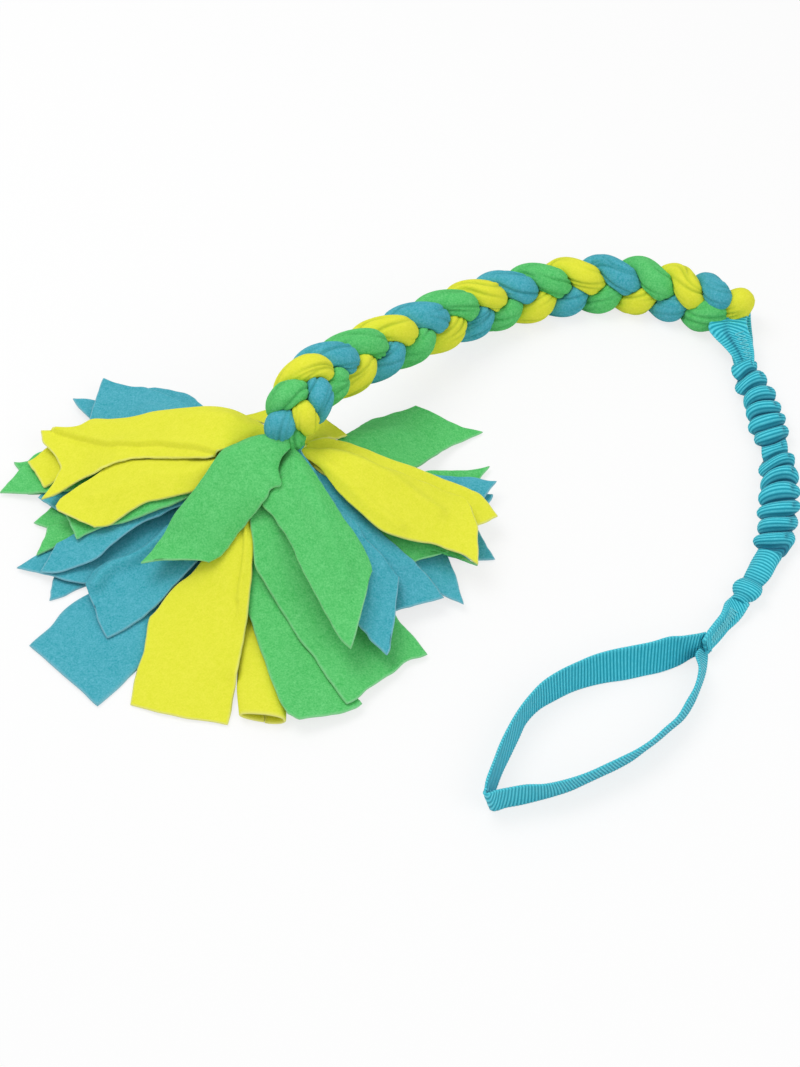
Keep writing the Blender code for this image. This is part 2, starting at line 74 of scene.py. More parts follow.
bl_info = {
    "name": "Bungee tug toy",
    "version": (1, 0, 0),
    "blender": (4, 5, 0),
    "location": "View3D > Sidebar > Tug toy",
    "description": "Builds a tug toy's fleece strips, plait, sleeve and hand loop around its packed model",
    "category": "Object",
}

MM = 0.001

# The least height of a round piece's underside
TABLE_GAP = 0.3 * MM

# Strips in the order they are laid, lowest first: number, colour, bearing of the root in degrees, the two
# long edges from the heart to the corners, and the points of the cut end between them. Plan in millimetres.
STRIPS = [
    (1, "green", 184,
     [(-19, 8), (-70, 10), (-115, 13), (-143, 2), (-154, -9), (-160, -17)],
     [(-18, 0), (-63, -15), (-107, -24), (-137, -35)],
     [(-151, -22)]),
    (2, "blue", 209,
     [(-15, 0), (-56, -18), (-100, -28), (-130, -45), (-144, -55)],
     [(-13, -11), (-46, -36), (-86, -51), (-126, -67), (-138, -75), (-146, -78)],
     []),
    (3, "blue", 345,
     [(21, -6), (49, -9), (79, -10), (112, -15)],
     [(17, -16), (43, -33), (73, -42), (98, -47), (125, -46)],
     [(118, -31)]),
    (4, "green", 12,
     [(24, -1), (48, 2), (77, 10), (89, 17), (123, 28)],
     [(21, -14), (49, -16), (79, -11), (108, 0)],
     [(117, 18)]),
    (13, "green", 168,
     [(-20, 20), (-72, 42), (-130, 46), (-169, 34), (-177, 33)],
     [(-21, 9), (-70, 7), (-127, 9), (-166, 7)],
     [(-173, 26)]),
    (16, "yellow", 266,
     [(-11, -26), (-19, -46), (-24, -73), (-25, -93), (-28, -110), (-29, -128), (-29, -148), (-27, -168)],
     [(-5, -26), (-6, -47), (-5, -73), (-2, -110), (1, -147), (1, -172)],
     []),
    (5, "blue", 178,
     [(-18, 8), (-70, 11), (-128, 16), (-152, 10), (-159, 2)],
     [(-18, 0), (-63, -10), (-107, -13), (-139, -15)],
     [(-150, -6)]),
    (6, "blue", 203,
     [(-17, 0), (-56, -14), (-106, -21), (-143, -37), (-157, -45), (-168, -54)],
     [(-14, -10), (-49, -29), (-86, -45), (-110, -61), (-125, -68)],
     [(-152, -60), (-135, -66)]),
    (7, "blue", 326,
     [(21, -15), (49, -30), (76, -43), (96, -49)],
     [(15, -22), (37, -50), (67, -70), (93, -79), (105, -85)],
     [(101, -66)]),
    (8, "blue", 0,
     [(24, -3), (55, -4), (92, 2), (125, 3)],
     [(21, -17), (49, -26), (79, -27), (113, -23)],
     [(125, 1), (123, -3)]),
    (9, "green", 33,
     [(13, 12), (24, 14), (32, 25), (39, 38), (48, 56), (61, 69), (77, 81)],
     [(16, 11), (33, 11), (49, 10), (70, 7), (95, 40), (119, 59)],
     [(85, 76), (98, 67), (107, 62)]),
    (10, "yellow", 66,
     [(5, 21), (8, 38), (12, 54)],
     [(13, 9), (24, 14), (34, 22)],
     [(22, 37)]),
    (11, "yellow", 117,
     [(-10, 28), (-19, 39), (-31, 47)],
     [(2, 25), (-1, 40), (-6, 57)],
     [(-19, 51)]),
    (12, "blue", 140,
     [(-26, 30), (-50, 55), (-61, 72), (-70, 87), (-89, 97), (-96, 97)],
     [(-32, 18), (-58, 29), (-78, 42), (-109, 65)],
     []),
    (14, "green", 193,
     [(-18, 2), (-63, -2), (-107, -6), (-138, -18), (-151, -23)],
     [(-16, -6), (-56, -22), (-99, -28), (-134, -34), (-145, -40), (-156, -46)],
     [(-152, -31)]),
    (15, "blue", 226,
     [(-16, -10), (-46, -30), (-80, -46), (-110, -65), (-133, -82), (-144, -99), (-155, -113)],
     [(-9, -23), (-24, -46), (-51, -76), (-74, -109), (-90, -131), (-104, -149), (-112, -158)],
     []),
    (17, "green", 328,
     [(21, -15), (49, -27), (79, -41), (101, -54), (114, -63)],
     [(13, -22), (31, -42), (49, -58), (69, -66)],
     [(95, -54), (80, -60)]),
    (18, "blue", 0,
     [(24, -3), (55, -2), (89, 4), (110, 10), (120, 9), (127, 9)],
     [(21, -18), (55, -23), (86, -17), (113, -15)],
     [(122, 1)]),
    (19, "blue", 152,
     [(-32, 24), (-65, 45), (-92, 64), (-128, 82), (-143, 84)],
     [(-35, 13), (-64, 22), (-90, 35), (-120, 49)],
     [(-137, 74), (-130, 65)]),
    (20, "green", 174,
     [(-19, 13), (-71, 31), (-129, 43), (-159, 40), (-168, 32)],
     [(-20, 4), (-69, -1), (-120, 4), (-158, 4), (-183, 7)],
     []),
    (21, "blue", 199,
     [(-16, -3), (-50, -13), (-87, -16), (-118, -24), (-144, -40)],
     [(-14, -11), (-46, -27), (-71, -29), (-80, -32), (-95, -36), (-110, -46), (-119, -54), (-134, -60),
      (-142, -62), (-152, -61)],
     []),
    (22, "green", 278,
     [(-9, -28), (-17, -39), (-22, -56), (-24, -76), (-25, -93), (-21, -105), (-16, -122), (-9, -146),
      (-3, -163), (1, -171)],
     [(-3, -27), (2, -54), (10, -81), (22, -110), (36, -147), (44, -160)],
     [(8, -175), (22, -171), (31, -168), (41, -163)]),
    (23, "blue", 310,
     [(9, -4), (17, -13), (29, -27), (42, -39), (56, -50), (68, -59), (77, -65), (86, -73), (93, -84)],
     [(6, -18), (17, -41), (34, -64), (49, -82), (59, -96)],
     [(79, -89)]),
    (24, "yellow", 347,
     [(10, 8), (16, 10), (26, 12), (39, 9), (61, 2), (78, 0), (100, -3), (110, -5), (119, -10), (127, -23)],
     [(9, -7), (24, -22), (43, -34), (73, -44), (99, -47)],
     [(114, -33)]),
    (25, "yellow", 166,
     [(-18, 12), (-58, 28), (-109, 39), (-148, 43), (-167, 28)],
     [(-22, 4), (-56, 1), (-108, 12), (-140, 14), (-155, 6)],
     []),
    (26, "green", 192,
     [(-18, 1), (-56, -3), (-94, -3), (-125, -9), (-140, -18)],
     [(-16, -7), (-55, -25), (-92, -33), (-120, -34), (-131, -40)],
     []),
    (27, "blue", 219,
     [(-17, -11), (-46, -28), (-61, -31), (-74, -35), (-85, -44), (-100, -50), (-110, -53), (-119, -60),
      (-124, -71)],
     [(-11, -18), (-24, -35), (-45, -55), (-60, -66), (-74, -80), (-82, -89), (-92, -98), (-104, -107),
      (-109, -110)],
     [(-122, -77), (-117, -90), (-113, -102)]),
    (28, "yellow", 250,
     [(-13, -26), (-24, -34), (-36, -45), (-57, -69), (-69, -77), (-80, -92), (-84, -98), (-86, -119),
      (-90, -135), (-92, -157)],
     [(-7, -32), (-17, -38), (-22, -46), (-22, -62), (-24, -92), (-29, -132), (-32, -154), (-35, -172)],
     [(-76, -163), (-57, -168), (-45, -170)]),
    (29, "green", 292,
     [(-6, -32), (-16, -36), (-23, -42), (-23, -52), (-21, -61), (-20, -73), (-15, -82), (-8, -92),
      (0, -104), (7, -117), (16, -129), (25, -145), (36, -162)],
     [(0, -20), (12, -34), (27, -53), (46, -74), (64, -98), (70, -104), (77, -112), (83, -121)],
     [(43, -157), (45, -153), (54, -144), (63, -136), (71, -126), (78, -124)]),
    (31, "blue", 149,
     [(-29, 18), (-59, 44), (-79, 68), (-95, 83), (-106, 88), (-124, 97)],
     [(-35, 7), (-57, 11), (-96, 33), (-131, 56)],
     [(-126, 86), (-129, 69)]),
    (30, "yellow", 342,
     [(5, -2), (12, -1), (24, 0), (33, -2), (45, -7), (56, -12), (72, -12), (94, -14), (106, -17)],
     [(5, -5), (9, -9), (18, -17), (29, -32), (42, -44), (56, -54), (72, -56), (88, -56), (95, -58),
      (105, -61), (114, -68)],
     [(110, -24), (114, -40), (114, -57)]),
    (32, "yellow", 190,
     [(-18, 1), (-37, -2), (-56, -1), (-82, 4), (-107, 9), (-122, 2), (-141, -11), (-145, -18)],
     [(-17, -6), (-31, -16), (-46, -23), (-58, -26), (-75, -27), (-90, -27), (-110, -35), (-120, -36)],
     [(-144, -22), (-130, -31)]),
    (33, "blue", 302,
     [(7, -8), (15, -18), (23, -32), (31, -43), (40, -48), (46, -58), (56, -66), (66, -77)],
     [(1, -19), (6, -37), (19, -65), (32, -92), (42, -113), (47, -118), (50, -123), (59, -133)],
     [(64, -102), (63, -111), (61, -129)]),
    (34, "yellow", 173,
     [(-3, 7), (-17, 19), (-33, 30), (-47, 35), (-63, 38), (-84, 44), (-99, 45), (-115, 48), (-126, 52),
      (-136, 48), (-160, 49)],
     [(-7, 4), (-14, 7), (-24, 6), (-34, 1), (-41, -6), (-50, -9), (-66, -3), (-82, 3), (-97, 7), (-108, 7),
      (-118, 5), (-132, 3), (-147, -5), (-155, -8)],
     [(-158, 39), (-149, 26), (-144, 17), (-148, 5)]),
    (36, "green", 294,
     [(3, -9), (7, -13), (16, -25), (25, -40), (33, -52), (39, -59), (48, -74), (50, -81)],
     [(-3, -7), (-9, -16), (-12, -24), (-11, -32), (-14, -38), (-16, -43), (-8, -52), (2, -68), (7, -81),
      (16, -98), (25, -116), (32, -129), (38, -136)],
     [(45, -107), (40, -129)]),
    (35, "green", 222,
     [(-1, -4), (-6, -1), (-14, 2), (-24, 3), (-33, -2), (-41, -9), (-52, -24), (-68, -39), (-79, -55),
      (-89, -69)],
     [(0, -13), (-5, -17), (-7, -25), (-5, -35), (-11, -37), (-15, -43), (-30, -54), (-40, -65), (-48, -70)],
     []),
]

# How high a strip arches across its width, in millimetres: the usual height and the exceptions
USUAL_CROWN = 1.4
CROWNS = {9: 2.5, 12: 2, 15: 2, 22: 2, 24: 2, 27: 2, 28: 2.5, 29: 3, 30: 4, 31: 2, 32: 3, 33: 3, 34: 3.5,
          35: 7, 36: 5}

# Folds in the strips: the strip, ridge or step (raised to the left of its way), its height and width in
# millimetres, and its line in plan
FOLDS = [
    (34, "step", 3.6, 11, [(-150, 47), (-138, 40), (-128, 34), (-114, 24), (-99, 18), (-82, 13), (-58, 1),
     (-44, -8)]),
    (34, "ridge", 2.2, 7, [(-128, 47), (-103, 41), (-74, 37), (-48, 27), (-24, 12)]),
    (32, "ridge", 2.0, 6, [(-120, -16), (-90, -12), (-60, -14), (-36, -12)]),
    (27, "ridge", 6.0, 4, [(-64, -37), (-76, -43), (-87, -51), (-99, -56), (-108, -59), (-114, -65),
     (-118, -73)]),
    (28, "step", 2.6, 5, [(-27, -40), (-27, -49), (-26, -58), (-27, -70), (-30, -92)]),
    (30, "ridge", 2.6, 4.5, [(6, -3), (23, -6), (43, -12), (68, -22), (90, -34)]),
    (30, "ridge", 2.2, 4, [(8, -7), (20, -16), (34, -28), (50, -42), (66, -50)]),
    (35, "ridge", 5.0, 9, [(-4, -6), (-16, -6), (-30, -12), (-46, -27), (-62, -44)]),
    (36, "ridge", 3.0, 6, [(2, -12), (6, -26), (12, -42), (24, -66), (34, -92)]),
    (33, "ridge", 2.0, 5, [(8, -18), (20, -38), (36, -64), (50, -90)]),
    (29, "ridge", 2.4, 6, [(0, -40), (10, -70), (28, -104)]),
    (31, "ridge", 2.0, 6, [(-40, 20), (-64, 36), (-92, 58)]),
    (9, "ridge", 2.0, 8, [(20, 14), (40, 28), (66, 48)]),
]
CREASED = {fold[0] for fold in FOLDS}
ROLLED_STRIP = 16

# Points on the plait's way, where it is round its strands, and how many turns it has made there
PLAIT_ROUTE = [
    (5, 11, 80), (15, 31, 80.5), (31, 57, 65), (54, 87, 50), (80, 114, 39), (106, 138, 29), (132, 157, 22),
    (159, 169, 18), (186, 176, 16.7), (212, 177, 16.7), (238, 172, 16.7), (258, 164, 16.7), (273, 158, 16.7),
    (288, 156, 16.7), (304, 156, 16.7),
]
PLAIT_TURNS = [
    (0, -0.08), (14, 0.1), (27, 0.42), (45, 0.76), (73, 1.09), (107, 1.43), (137, 1.76), (167, 2.1),
    (196, 2.43), (220, 2.76), (245, 3.1), (270, 3.43), (293, 3.76), (318, 4.1), (342, 4.43), (365, 4.76),
    (384, 5.08), (409, 5.36),
]

SLEEVE_ROUTE = [
    (290.5, 106), (293, 98), (296, 88), (299, 77), (301, 63), (303, 50), (304, 40), (304, 32), (305, 19),
    (304, 4), (303, -10), (301, -22), (298, -34), (295, -45), (289, -56), (283, -67), (277, -77), (272, -85),
]

# Folds along the sleeve, in millimetres: where each groove is, its half width, and that of the fold after it
SLEEVE_FOLDS = [
    (-3, 6.5, 8.6), (9.5, 7.0, 10.8), (23, 8.0, 12.0), (37, 8.6, 11.8), (48, 8.9, 12.2), (58.5, 8.9, 12.2),
    (69.5, 8.4, 8.3), (81.5, 8.0, 11.6), (94.5, 8.8, 12.9), (107, 9.2, 13.0), (120, 9.2, 12.9),
    (132, 9.2, 13.0), (145.5, 9.0, 12.2), (160, 8.0, 7.2), (188, 6.4, 9.6), (202, 5.4, 5.2), (230, 5.2, 5.2),
]

# The eye of folded webbing: its edges' x, then y, z and how deep it is folded down its middle, in millimetres
END_LOOP = [
    (284.6, 295.8, 110, 8.6, 3.2), (284.0, 296.2, 114, 8.8, 3.6), (281.5, 296.4, 119, 9.6, 4.0),
    (277.2, 296.0, 125, 11.0, 3.8), (272.0, 295.0, 131, 12.8, 3.0), (268.8, 293.6, 136, 14.6, 2.0),
    (269.5, 293.0, 142, 15.6, 1.0), (275, 294, 149, 15.8, 0.4), (279, 296, 156, 15.4, 0.2),
    (281, 298, 161, 14.6, 0.0), (281, 298, 164.2, 11.5, 0.0), (281, 298, 164.6, 8.2, 0.0),
    (281, 298, 162.5, 4.6, 0.0), (281, 298, 158, 2.4, 0.0), (281, 298, 150, 1.6, 0.0),
    (282, 298, 140, 2.0, 0.0), (283, 297, 130, 3.2, 0.0), (284, 297, 120, 4.2, 0.0),
    (284.5, 296, 114, 4.6, 0.0), (284.6, 295.8, 110, 4.8, 0.0),
]

# The stem's middle and its width
STEM_ROUTE = [
    (273.6, -83.2, 7.6, 10.5), (269.6, -89, 7.6, 11.5), (264, -98, 7.8, 12.0), (258, -107, 8.4, 12.0),
    (253.0, -114.6, 9.6, 11.0), (249.2, -120.4, 10.4, 8.0),
]

# The hand loop's band from its seam round and back to it: the foot's x and y, and the top edge's x, y and z
LOOP_BAND = [
    (252, -114.5, 249.5, -113, 14), (248, -118, 243, -118, 18.5), (241, -122, 235, -121, 20.5),
    (234, -127, 227, -122, 21), (223, -132, 216, -126, 21), (212, -135, 204, -129, 21),
    (201, -138, 192, -132, 21), (190, -140, 181, -136, 21), (179, -143, 171, -142, 22),
    (169, -147, 161, -148, 22), (159, -153, 151, -156, 22), (149, -160, 143, -166, 22),
    (141, -170, 136, -177, 22), (136, -182, 130, -189, 22), (131, -194, 125, -201, 22),
    (126, -206, 121, -213, 22), (122, -218, 117, -225, 22), (119.2, -226.5, 115.5, -233, 22),
    (118.8, -230, 114.8, -235.4, 22.6), (120.4, -232.2, 116.4, -236.6, 23), (123.6, -231.8, 119, -235.8, 23),
    (128, -230, 122, -234, 22.4), (137, -228, 129, -232, 22), (147, -225, 139, -230, 22),
    (156, -222, 149, -229, 21), (166, -218, 158, -227, 21), (175, -213, 168, -223, 20),
    (184, -208, 177, -219, 20), (193, -203, 186, -214, 20), (202, -197, 195, -209, 20),
    (210, -190, 204, -203, 19), (218, -183, 213, -196, 19), (226, -175, 221, -187, 18),
    (234, -167, 229, -178, 17), (240, -157, 235, -167, 17), (245, -145, 241, -155, 17),
    (249, -133, 244, -142, 17), (251, -122, 243, -130, 14), (251, -117, 246, -122, 10),
]


def dye(name, default):
    """A colour that can be set in the panel."""
    return FloatVectorProperty(name=name, description=f"Colour of the {name.lower()}", subtype="COLOR",
                               size=3, min=0, max=1, default=default)


def length(name, description, default):
    """A length that can be set in the panel. Its default is in millimetres."""
    return FloatProperty(name=name, description=description, default=default * MM, unit="LENGTH")


class FleeceSettings(bpy.types.PropertyGroup):
    """The fleece that the strips and the plait are cut from, and the mound that the strips lie over."""
    thick: length("Thickness", "Thickness of the fleece", 1.8)
    gap: length("Layer gap", "Air between two strips", 0.3)
    mound: length("Mound height", "Height of the bunched middle under the strips", 40)
    foot: length("Mound foot", "Radius where the lowest strips meet the table", 118)
    droop: FloatProperty(name="Droop", description="How sharply fleece bends under its weight, per metre",
                         default=13.3)
    strand: length("Strand radius", "Radius of a full plait strand", 8.9)
    crease: length("Crease depth", "Depth of the pleats along a plait strand", 1.7)
    half_width: length("Plait half width", "How far a strand's middle swings to the side", 9.0)
    half_depth: length("Plait half depth", "How far a strand's middle swings up and down", 6.3)
    blue: dye("Blue fleece", (0.036, 0.430, 0.560))
    green: dye("Green fleece", (0.085, 0.620, 0.140))
    yellow: dye("Yellow fleece", (0.815, 0.805, 0.036))


class WebbingSettings(bpy.types.PropertyGroup):
    """The ribbed webbing of the end loop, the sleeve, the stem and the hand loop."""
    thick: length("Thickness", "Thickness of one ply", 1.5)
    pitch: length("Rib pitch", "Distance from one rib to the next", 2.1)
    colour: dye("Webbing", (0.012, 0.475, 0.610))
    # the colour of the painted highlight on the ribs' tops
    rib: dye("Rib tops", (0.130, 0.740, 0.860))
    thread: dye("Thread", (0.190, 0.740, 0.840))


class StageSettings(bpy.types.PropertyGroup):
    """The light and the floor."""
    lamp: FloatProperty(name="Key light", description="Power of the softbox overhead", default=11.5,
                        unit="POWER")
    world: FloatProperty(name="Room light", description="Strength of the even light all round", default=0.6)


def settings():
    return bpy.context.scene.tug_fleece, bpy.context.scene.tug_webbing, bpy.context.scene.tug_stage


# Curves and closed meshes

def ease(t):
    t = np.clip(t, 0, 1)
    return t * t * (3 - 2 * t)


def refine(grid, factor, across=False):
    """Fills in smooth points between those of a grid."""
    g = np.swapaxes(grid, 0, 1) if across else grid
    p = np.concatenate([2 * g[:1] - g[1:2], g, 2 * g[-1:] - g[-2:-1]])
    a, b, c, d = p[:-3], p[1:-2], p[2:-1], p[3:]
    parts = []
    for k in range(factor):
        t = k / factor
        parts.append(0.5 * (2 * b + (c - a) * t + (2 * a - 5 * b + 4 * c - d) * t ** 2
                            + (3 * b - a - 3 * c + d) * t ** 3))
    g = np.concatenate([np.stack(parts, 1).reshape(-1, *g.shape[1:]), g[-1:]])
    return np.swapaxes(g, 0, 1) if across else g


def refine_both(grid, factor):
    """Fills in smooth points both along and across a grid."""
    return refine(refine(grid, factor), factor, True)


def lengths(points):
    """How far along a row of points each one is."""
    return np.concatenate([[0], np.cumsum(np.linalg.norm(np.diff(points, axis=0), axis=1))])


def at_lengths(points, places):
    arc = lengths(points[:, :3])
    return np.stack([np.interp(places, arc, points[:, k]) for k in range(points.shape[1])], 1)


def smooth_curve(points, count):
    """Evenly spaced points on a smooth curve through the given ones."""
    fine = refine(np.asarray(points, float), 24)
    return at_lengths(fine, np.linspace(0, lengths(fine[:, :3])[-1], count))


def unit(v):
    return v / np.maximum(np.linalg.norm(v, axis=-1, keepdims=True), 1e-12)


def circle(count):
    """Evenly spaced angles once round."""
    return np.linspace(0, math.tau, count, endpoint=False)


def tangents(points):
    return unit(np.gradient(points, axis=0))


def raised(grid, by):
    """A grid of points, each lifted by its own height."""
    return grid + by[..., None] * [0, 0, 1]


def around(side, up, angle):
    """Directions all round a line, from the one to its side and the one upwards."""
    return side[:, None] * np.cos(angle)[None, :, None] + up[:, None] * np.sin(angle)[None, :, None]


def add_object(name, data):
    made = bpy.data.objects.new(name, data)
    bpy.context.scene.collection.objects.link(made)
    return made


def add_piece(name, shell, slot, body, nodes):
    """A smooth-shaded mesh with its slot's material and its place in the frame."""
    vertices, faces, values = shell
    mesh = bpy.data.meshes.new(name)
    mesh.from_pydata(vertices.tolist(), [], faces)
    mesh.shade_smooth()
    for key, numbers in values.items():
        kept = mesh.attributes.new(key, "FLOAT", "POINT")
        kept.data.foreach_set("value", numbers.astype(np.float32))
    mesh.materials.append(material(slot))
    piece = add_object(name, mesh)
    if body:
        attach(piece, body)
    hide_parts(*nodes)
    return piece


def sheet_shell(middle, half, **values):
    """A closed shell round a grid of middle points, half its thickness to each side, with a rounded rim. The
    values are numbers that are kept on its points."""
    rows, cols = middle.shape[:2]
    n = rows * cols
    du = np.gradient(middle, axis=1)
    dv = np.gradient(middle, axis=0)
    normal = unit(np.cross(du, dv))
    half = np.broadcast_to(half, (rows, cols))[..., None]
    index = np.arange(n).reshape(rows, cols)
    rim = np.concatenate([index[0, :-1], index[:-1, -1], index[-1, :0:-1], index[:0:-1, 0]])
    out = np.zeros_like(middle)
    out[:, 0] -= unit(du[:, 0])
    out[:, -1] += unit(du[:, -1])
    out[0] -= unit(dv[0])
    out[-1] += unit(dv[-1])
    out = unit(out)
    inner = middle - out * half * 0.25
    points = [(inner + normal * half).reshape(-1, 3), (inner - normal * half).reshape(-1, 3),
              (middle + out * half * 0.7).reshape(-1, 3)[rim]]
    a = index[:-1, :-1].ravel()
    up = np.stack([a, a + 1, a + 1 + cols, a + cols], 1)
    outer = np.arange(len(rim)) + 2 * n
    rim_next, outer_next = np.roll(rim, -1), np.roll(outer, -1)
    faces = [up, up[:, ::-1] + n, np.stack([rim_next, rim, outer, outer_next], 1),
             np.stack([outer_next, outer, rim + n, rim_next + n], 1)]
    kept = {}
    for key, v in values.items():
        v = np.broadcast_to(v, (rows, cols)).ravel()
        kept[key] = np.concatenate([v, v, v[rim]])
    edge = np.zeros(n)
    edge[rim] = 0.55
    kept["edge"] = np.concatenate([edge, edge, np.ones(len(rim))])
    return np.concatenate(points), np.concatenate(faces).tolist(), kept


def tube_shell(rings, **values):
    """A closed tube over rings of equal count, each end closed by a fan."""
    count, sides = rings.shape[:2]
    n = count * sides
    index = np.arange(n).reshape(count, sides)
    after = np.roll(index, -1, 1)
    quads = np.stack([index[:-1], after[:-1], after[1:], index[1:]], -1).reshape(-1, 4).tolist()
    first = np.stack([0 * after[0] + n, after[0], index[0]], 1).tolist()
    last = np.stack([0 * after[0] + n + 1, index[-1], after[-1]], 1).tolist()
    kept = {}
    for key, v in values.items():
        v = np.broadcast_to(v, (count, sides))
        kept[key] = np.concatenate([v.ravel(), [v[0].mean()], [v[-1].mean()]])
    points = np.concatenate([rings.reshape(-1, 3), [rings[0].mean(0), rings[-1].mean(0)]])
    return points, quads + first + last, kept


def wander(seed, shape, waves, size):
    """Smooth seeded unevenness over a grid, from -size to size, with a number of bumps each way."""
    draw = np.random.default_rng(seed)
    coarse = draw.uniform(-1, 1, (waves[0] + 4, waves[1] + 4))

    def kernel(n, w):
        x = np.linspace(1, w + 1, n)
        k = x.astype(int)
        t = x - k
        weights = np.zeros((n, w + 4))
        for j, part in enumerate([(1 - t) ** 3 / 6, (3 * t ** 3 - 6 * t ** 2 + 4) / 6,
                                  (-3 * t ** 3 + 3 * t ** 2 + 3 * t + 1) / 6, t ** 3 / 6]):
            weights[np.arange(n), np.minimum(k - 1 + j, w + 3)] += part
        return weights

    return 1.7 * size * kernel(shape[0], waves[0]) @ coarse @ kernel(shape[1], waves[1]).T


# Shader parts

GREY = (0.5, 0.5, 0.5, 1)


def add_node(tree, kind, **sets):
    node = tree.nodes.new(kind)
    for key, value in sets.items():
        setattr(node, key, value)
    return node


def feed(tree, node, **inputs):
    """Sets a node's inputs, by name or as i0, i1 and so on, to numbers, colours or other outputs."""
    for key, value in inputs.items():
        socket = node.inputs[int(key[1:]) if key[1:].isdigit() else key.replace("_", " ")]
        if isinstance(value, bpy.types.NodeSocket):
            tree.links.new(value, socket)
        elif socket.type == "RGBA" and len(value) == 3:
            socket.default_value = (*value, 1)
        else:
            socket.default_value = value
    return node


def new_group(name, inputs, outputs):
    """An empty shader group. inputs holds each socket's default, a number or a colour."""
    group = bpy.data.node_groups.new(name, "ShaderNodeTree")
    for label, value in inputs.items():
        kind = "NodeSocketFloat" if isinstance(value, float) else "NodeSocketColor"
        group.interface.new_socket(label, in_out="INPUT", socket_type=kind).default_value = value
    for label in outputs:
        kind = "NodeSocketColor" if label == "Colour" else "NodeSocketFloat"
        group.interface.new_socket(label, in_out="OUTPUT", socket_type=kind)
    return group, group.nodes.new("NodeGroupInput"), group.nodes.new("NodeGroupOutput")


def maths(tree, operation, a, b=0.0, c=0.0):
    node = add_node(tree, "ShaderNodeMath", operation=operation)
    return feed(tree, node, i0=a, i1=b, i2=c).outputs[0]


def times(tree, a, b):
    return maths(tree, "MULTIPLY", a, b)


def plus(tree, a, b):
    return maths(tree, "ADD", a, b)


def wave(tree, place, pitch, shift=0.0):
    """A wave from 0 to 1, and its angle."""
    angle = times(tree, maths(tree, "DIVIDE", place, pitch), math.tau)
    high = maths(tree, "COSINE", plus(tree, angle, shift))
    return maths(tree, "MULTIPLY_ADD", high, 0.5, 0.5), angle


def mix_colour(tree, share, a, b, blend="MIX"):
    node = add_node(tree, "ShaderNodeMix", data_type="RGBA", blend_type=blend)
    return feed(tree, node, i0=share, i6=a, i7=b).outputs[2]


def tint(tree, colour, by):
    return mix_colour(tree, 1.0, colour, by, "MULTIPLY")


def noise(tree, scale, detail=2.0, rough=0.5):
    place = add_node(tree, "ShaderNodeTexCoord").outputs["Object"]
    node = add_node(tree, "ShaderNodeTexNoise")
    return feed(tree, node, Vector=place, Scale=scale, Detail=detail, Roughness=rough).outputs["Fac"]


def spread(tree, value, low, high, to_low=0.0, to_high=1.0):
    node = add_node(tree, "ShaderNodeMapRange")
    return feed(tree, node, Value=value, i1=low, i2=high, i3=to_low, i4=to_high).outputs[0]


def stored(tree, name):
    return add_node(tree, "ShaderNodeAttribute", attribute_name=name).outputs["Fac"]


def nap_group():
    """Brushed fleece: fine speckle over soft patches, paler at the cut edges, partly for their fluffier
    fibres and partly as painted light, and with painted shade down its creases.
    """
    group, given, out = new_group(
        "Fleece nap", {"Colour": GREY, "Speckle": 1000.0, "Contrast": 1.0, "Cut edge": 0.0, "Crease": 0.0},
        ["Colour", "Height"])
    colour, speckle, contrast, edge, crease = given.outputs[:5]
    fine = noise(group, speckle, 3.0, 0.65)
    coarse = noise(group, times(group, speckle, 0.33))
    patch = noise(group, 60.0)
    shade = plus(group, times(group, spread(group, fine, 0.32, 0.68), 0.66),
                 plus(group, times(group, spread(group, coarse, 0.3, 0.7), 0.24),
                      times(group, spread(group, patch, 0.3, 0.7), 0.10)))
    dark = tint(group, colour, (0.50, 0.66, 0.60))
    pale = mix_colour(group, 0.12, colour, (1, 1, 1))
    varied = mix_colour(group, contrast, colour, mix_colour(group, shade, dark, pale))
    # painted shade: the colour is darkened down the creases, as much as the crease attribute says
    deep = tint(group, varied, (0.42, 0.60, 0.50))
    varied = mix_colour(group, times(group, crease, 0.7), varied, deep)
    # the cut edge is paler: partly its fluffier fibres, partly painted light on rims that would lie in shade
    fluff_and_lit_fringe = mix_colour(group, 0.26, colour, (1, 1, 1))
    feed(group, out, Colour=mix_colour(group, maths(group, "POWER", edge, 2.0), varied, fluff_and_lit_fringe),
         Height=plus(group, times(group, fine, 0.7), times(group, coarse, 0.7)))
    return group


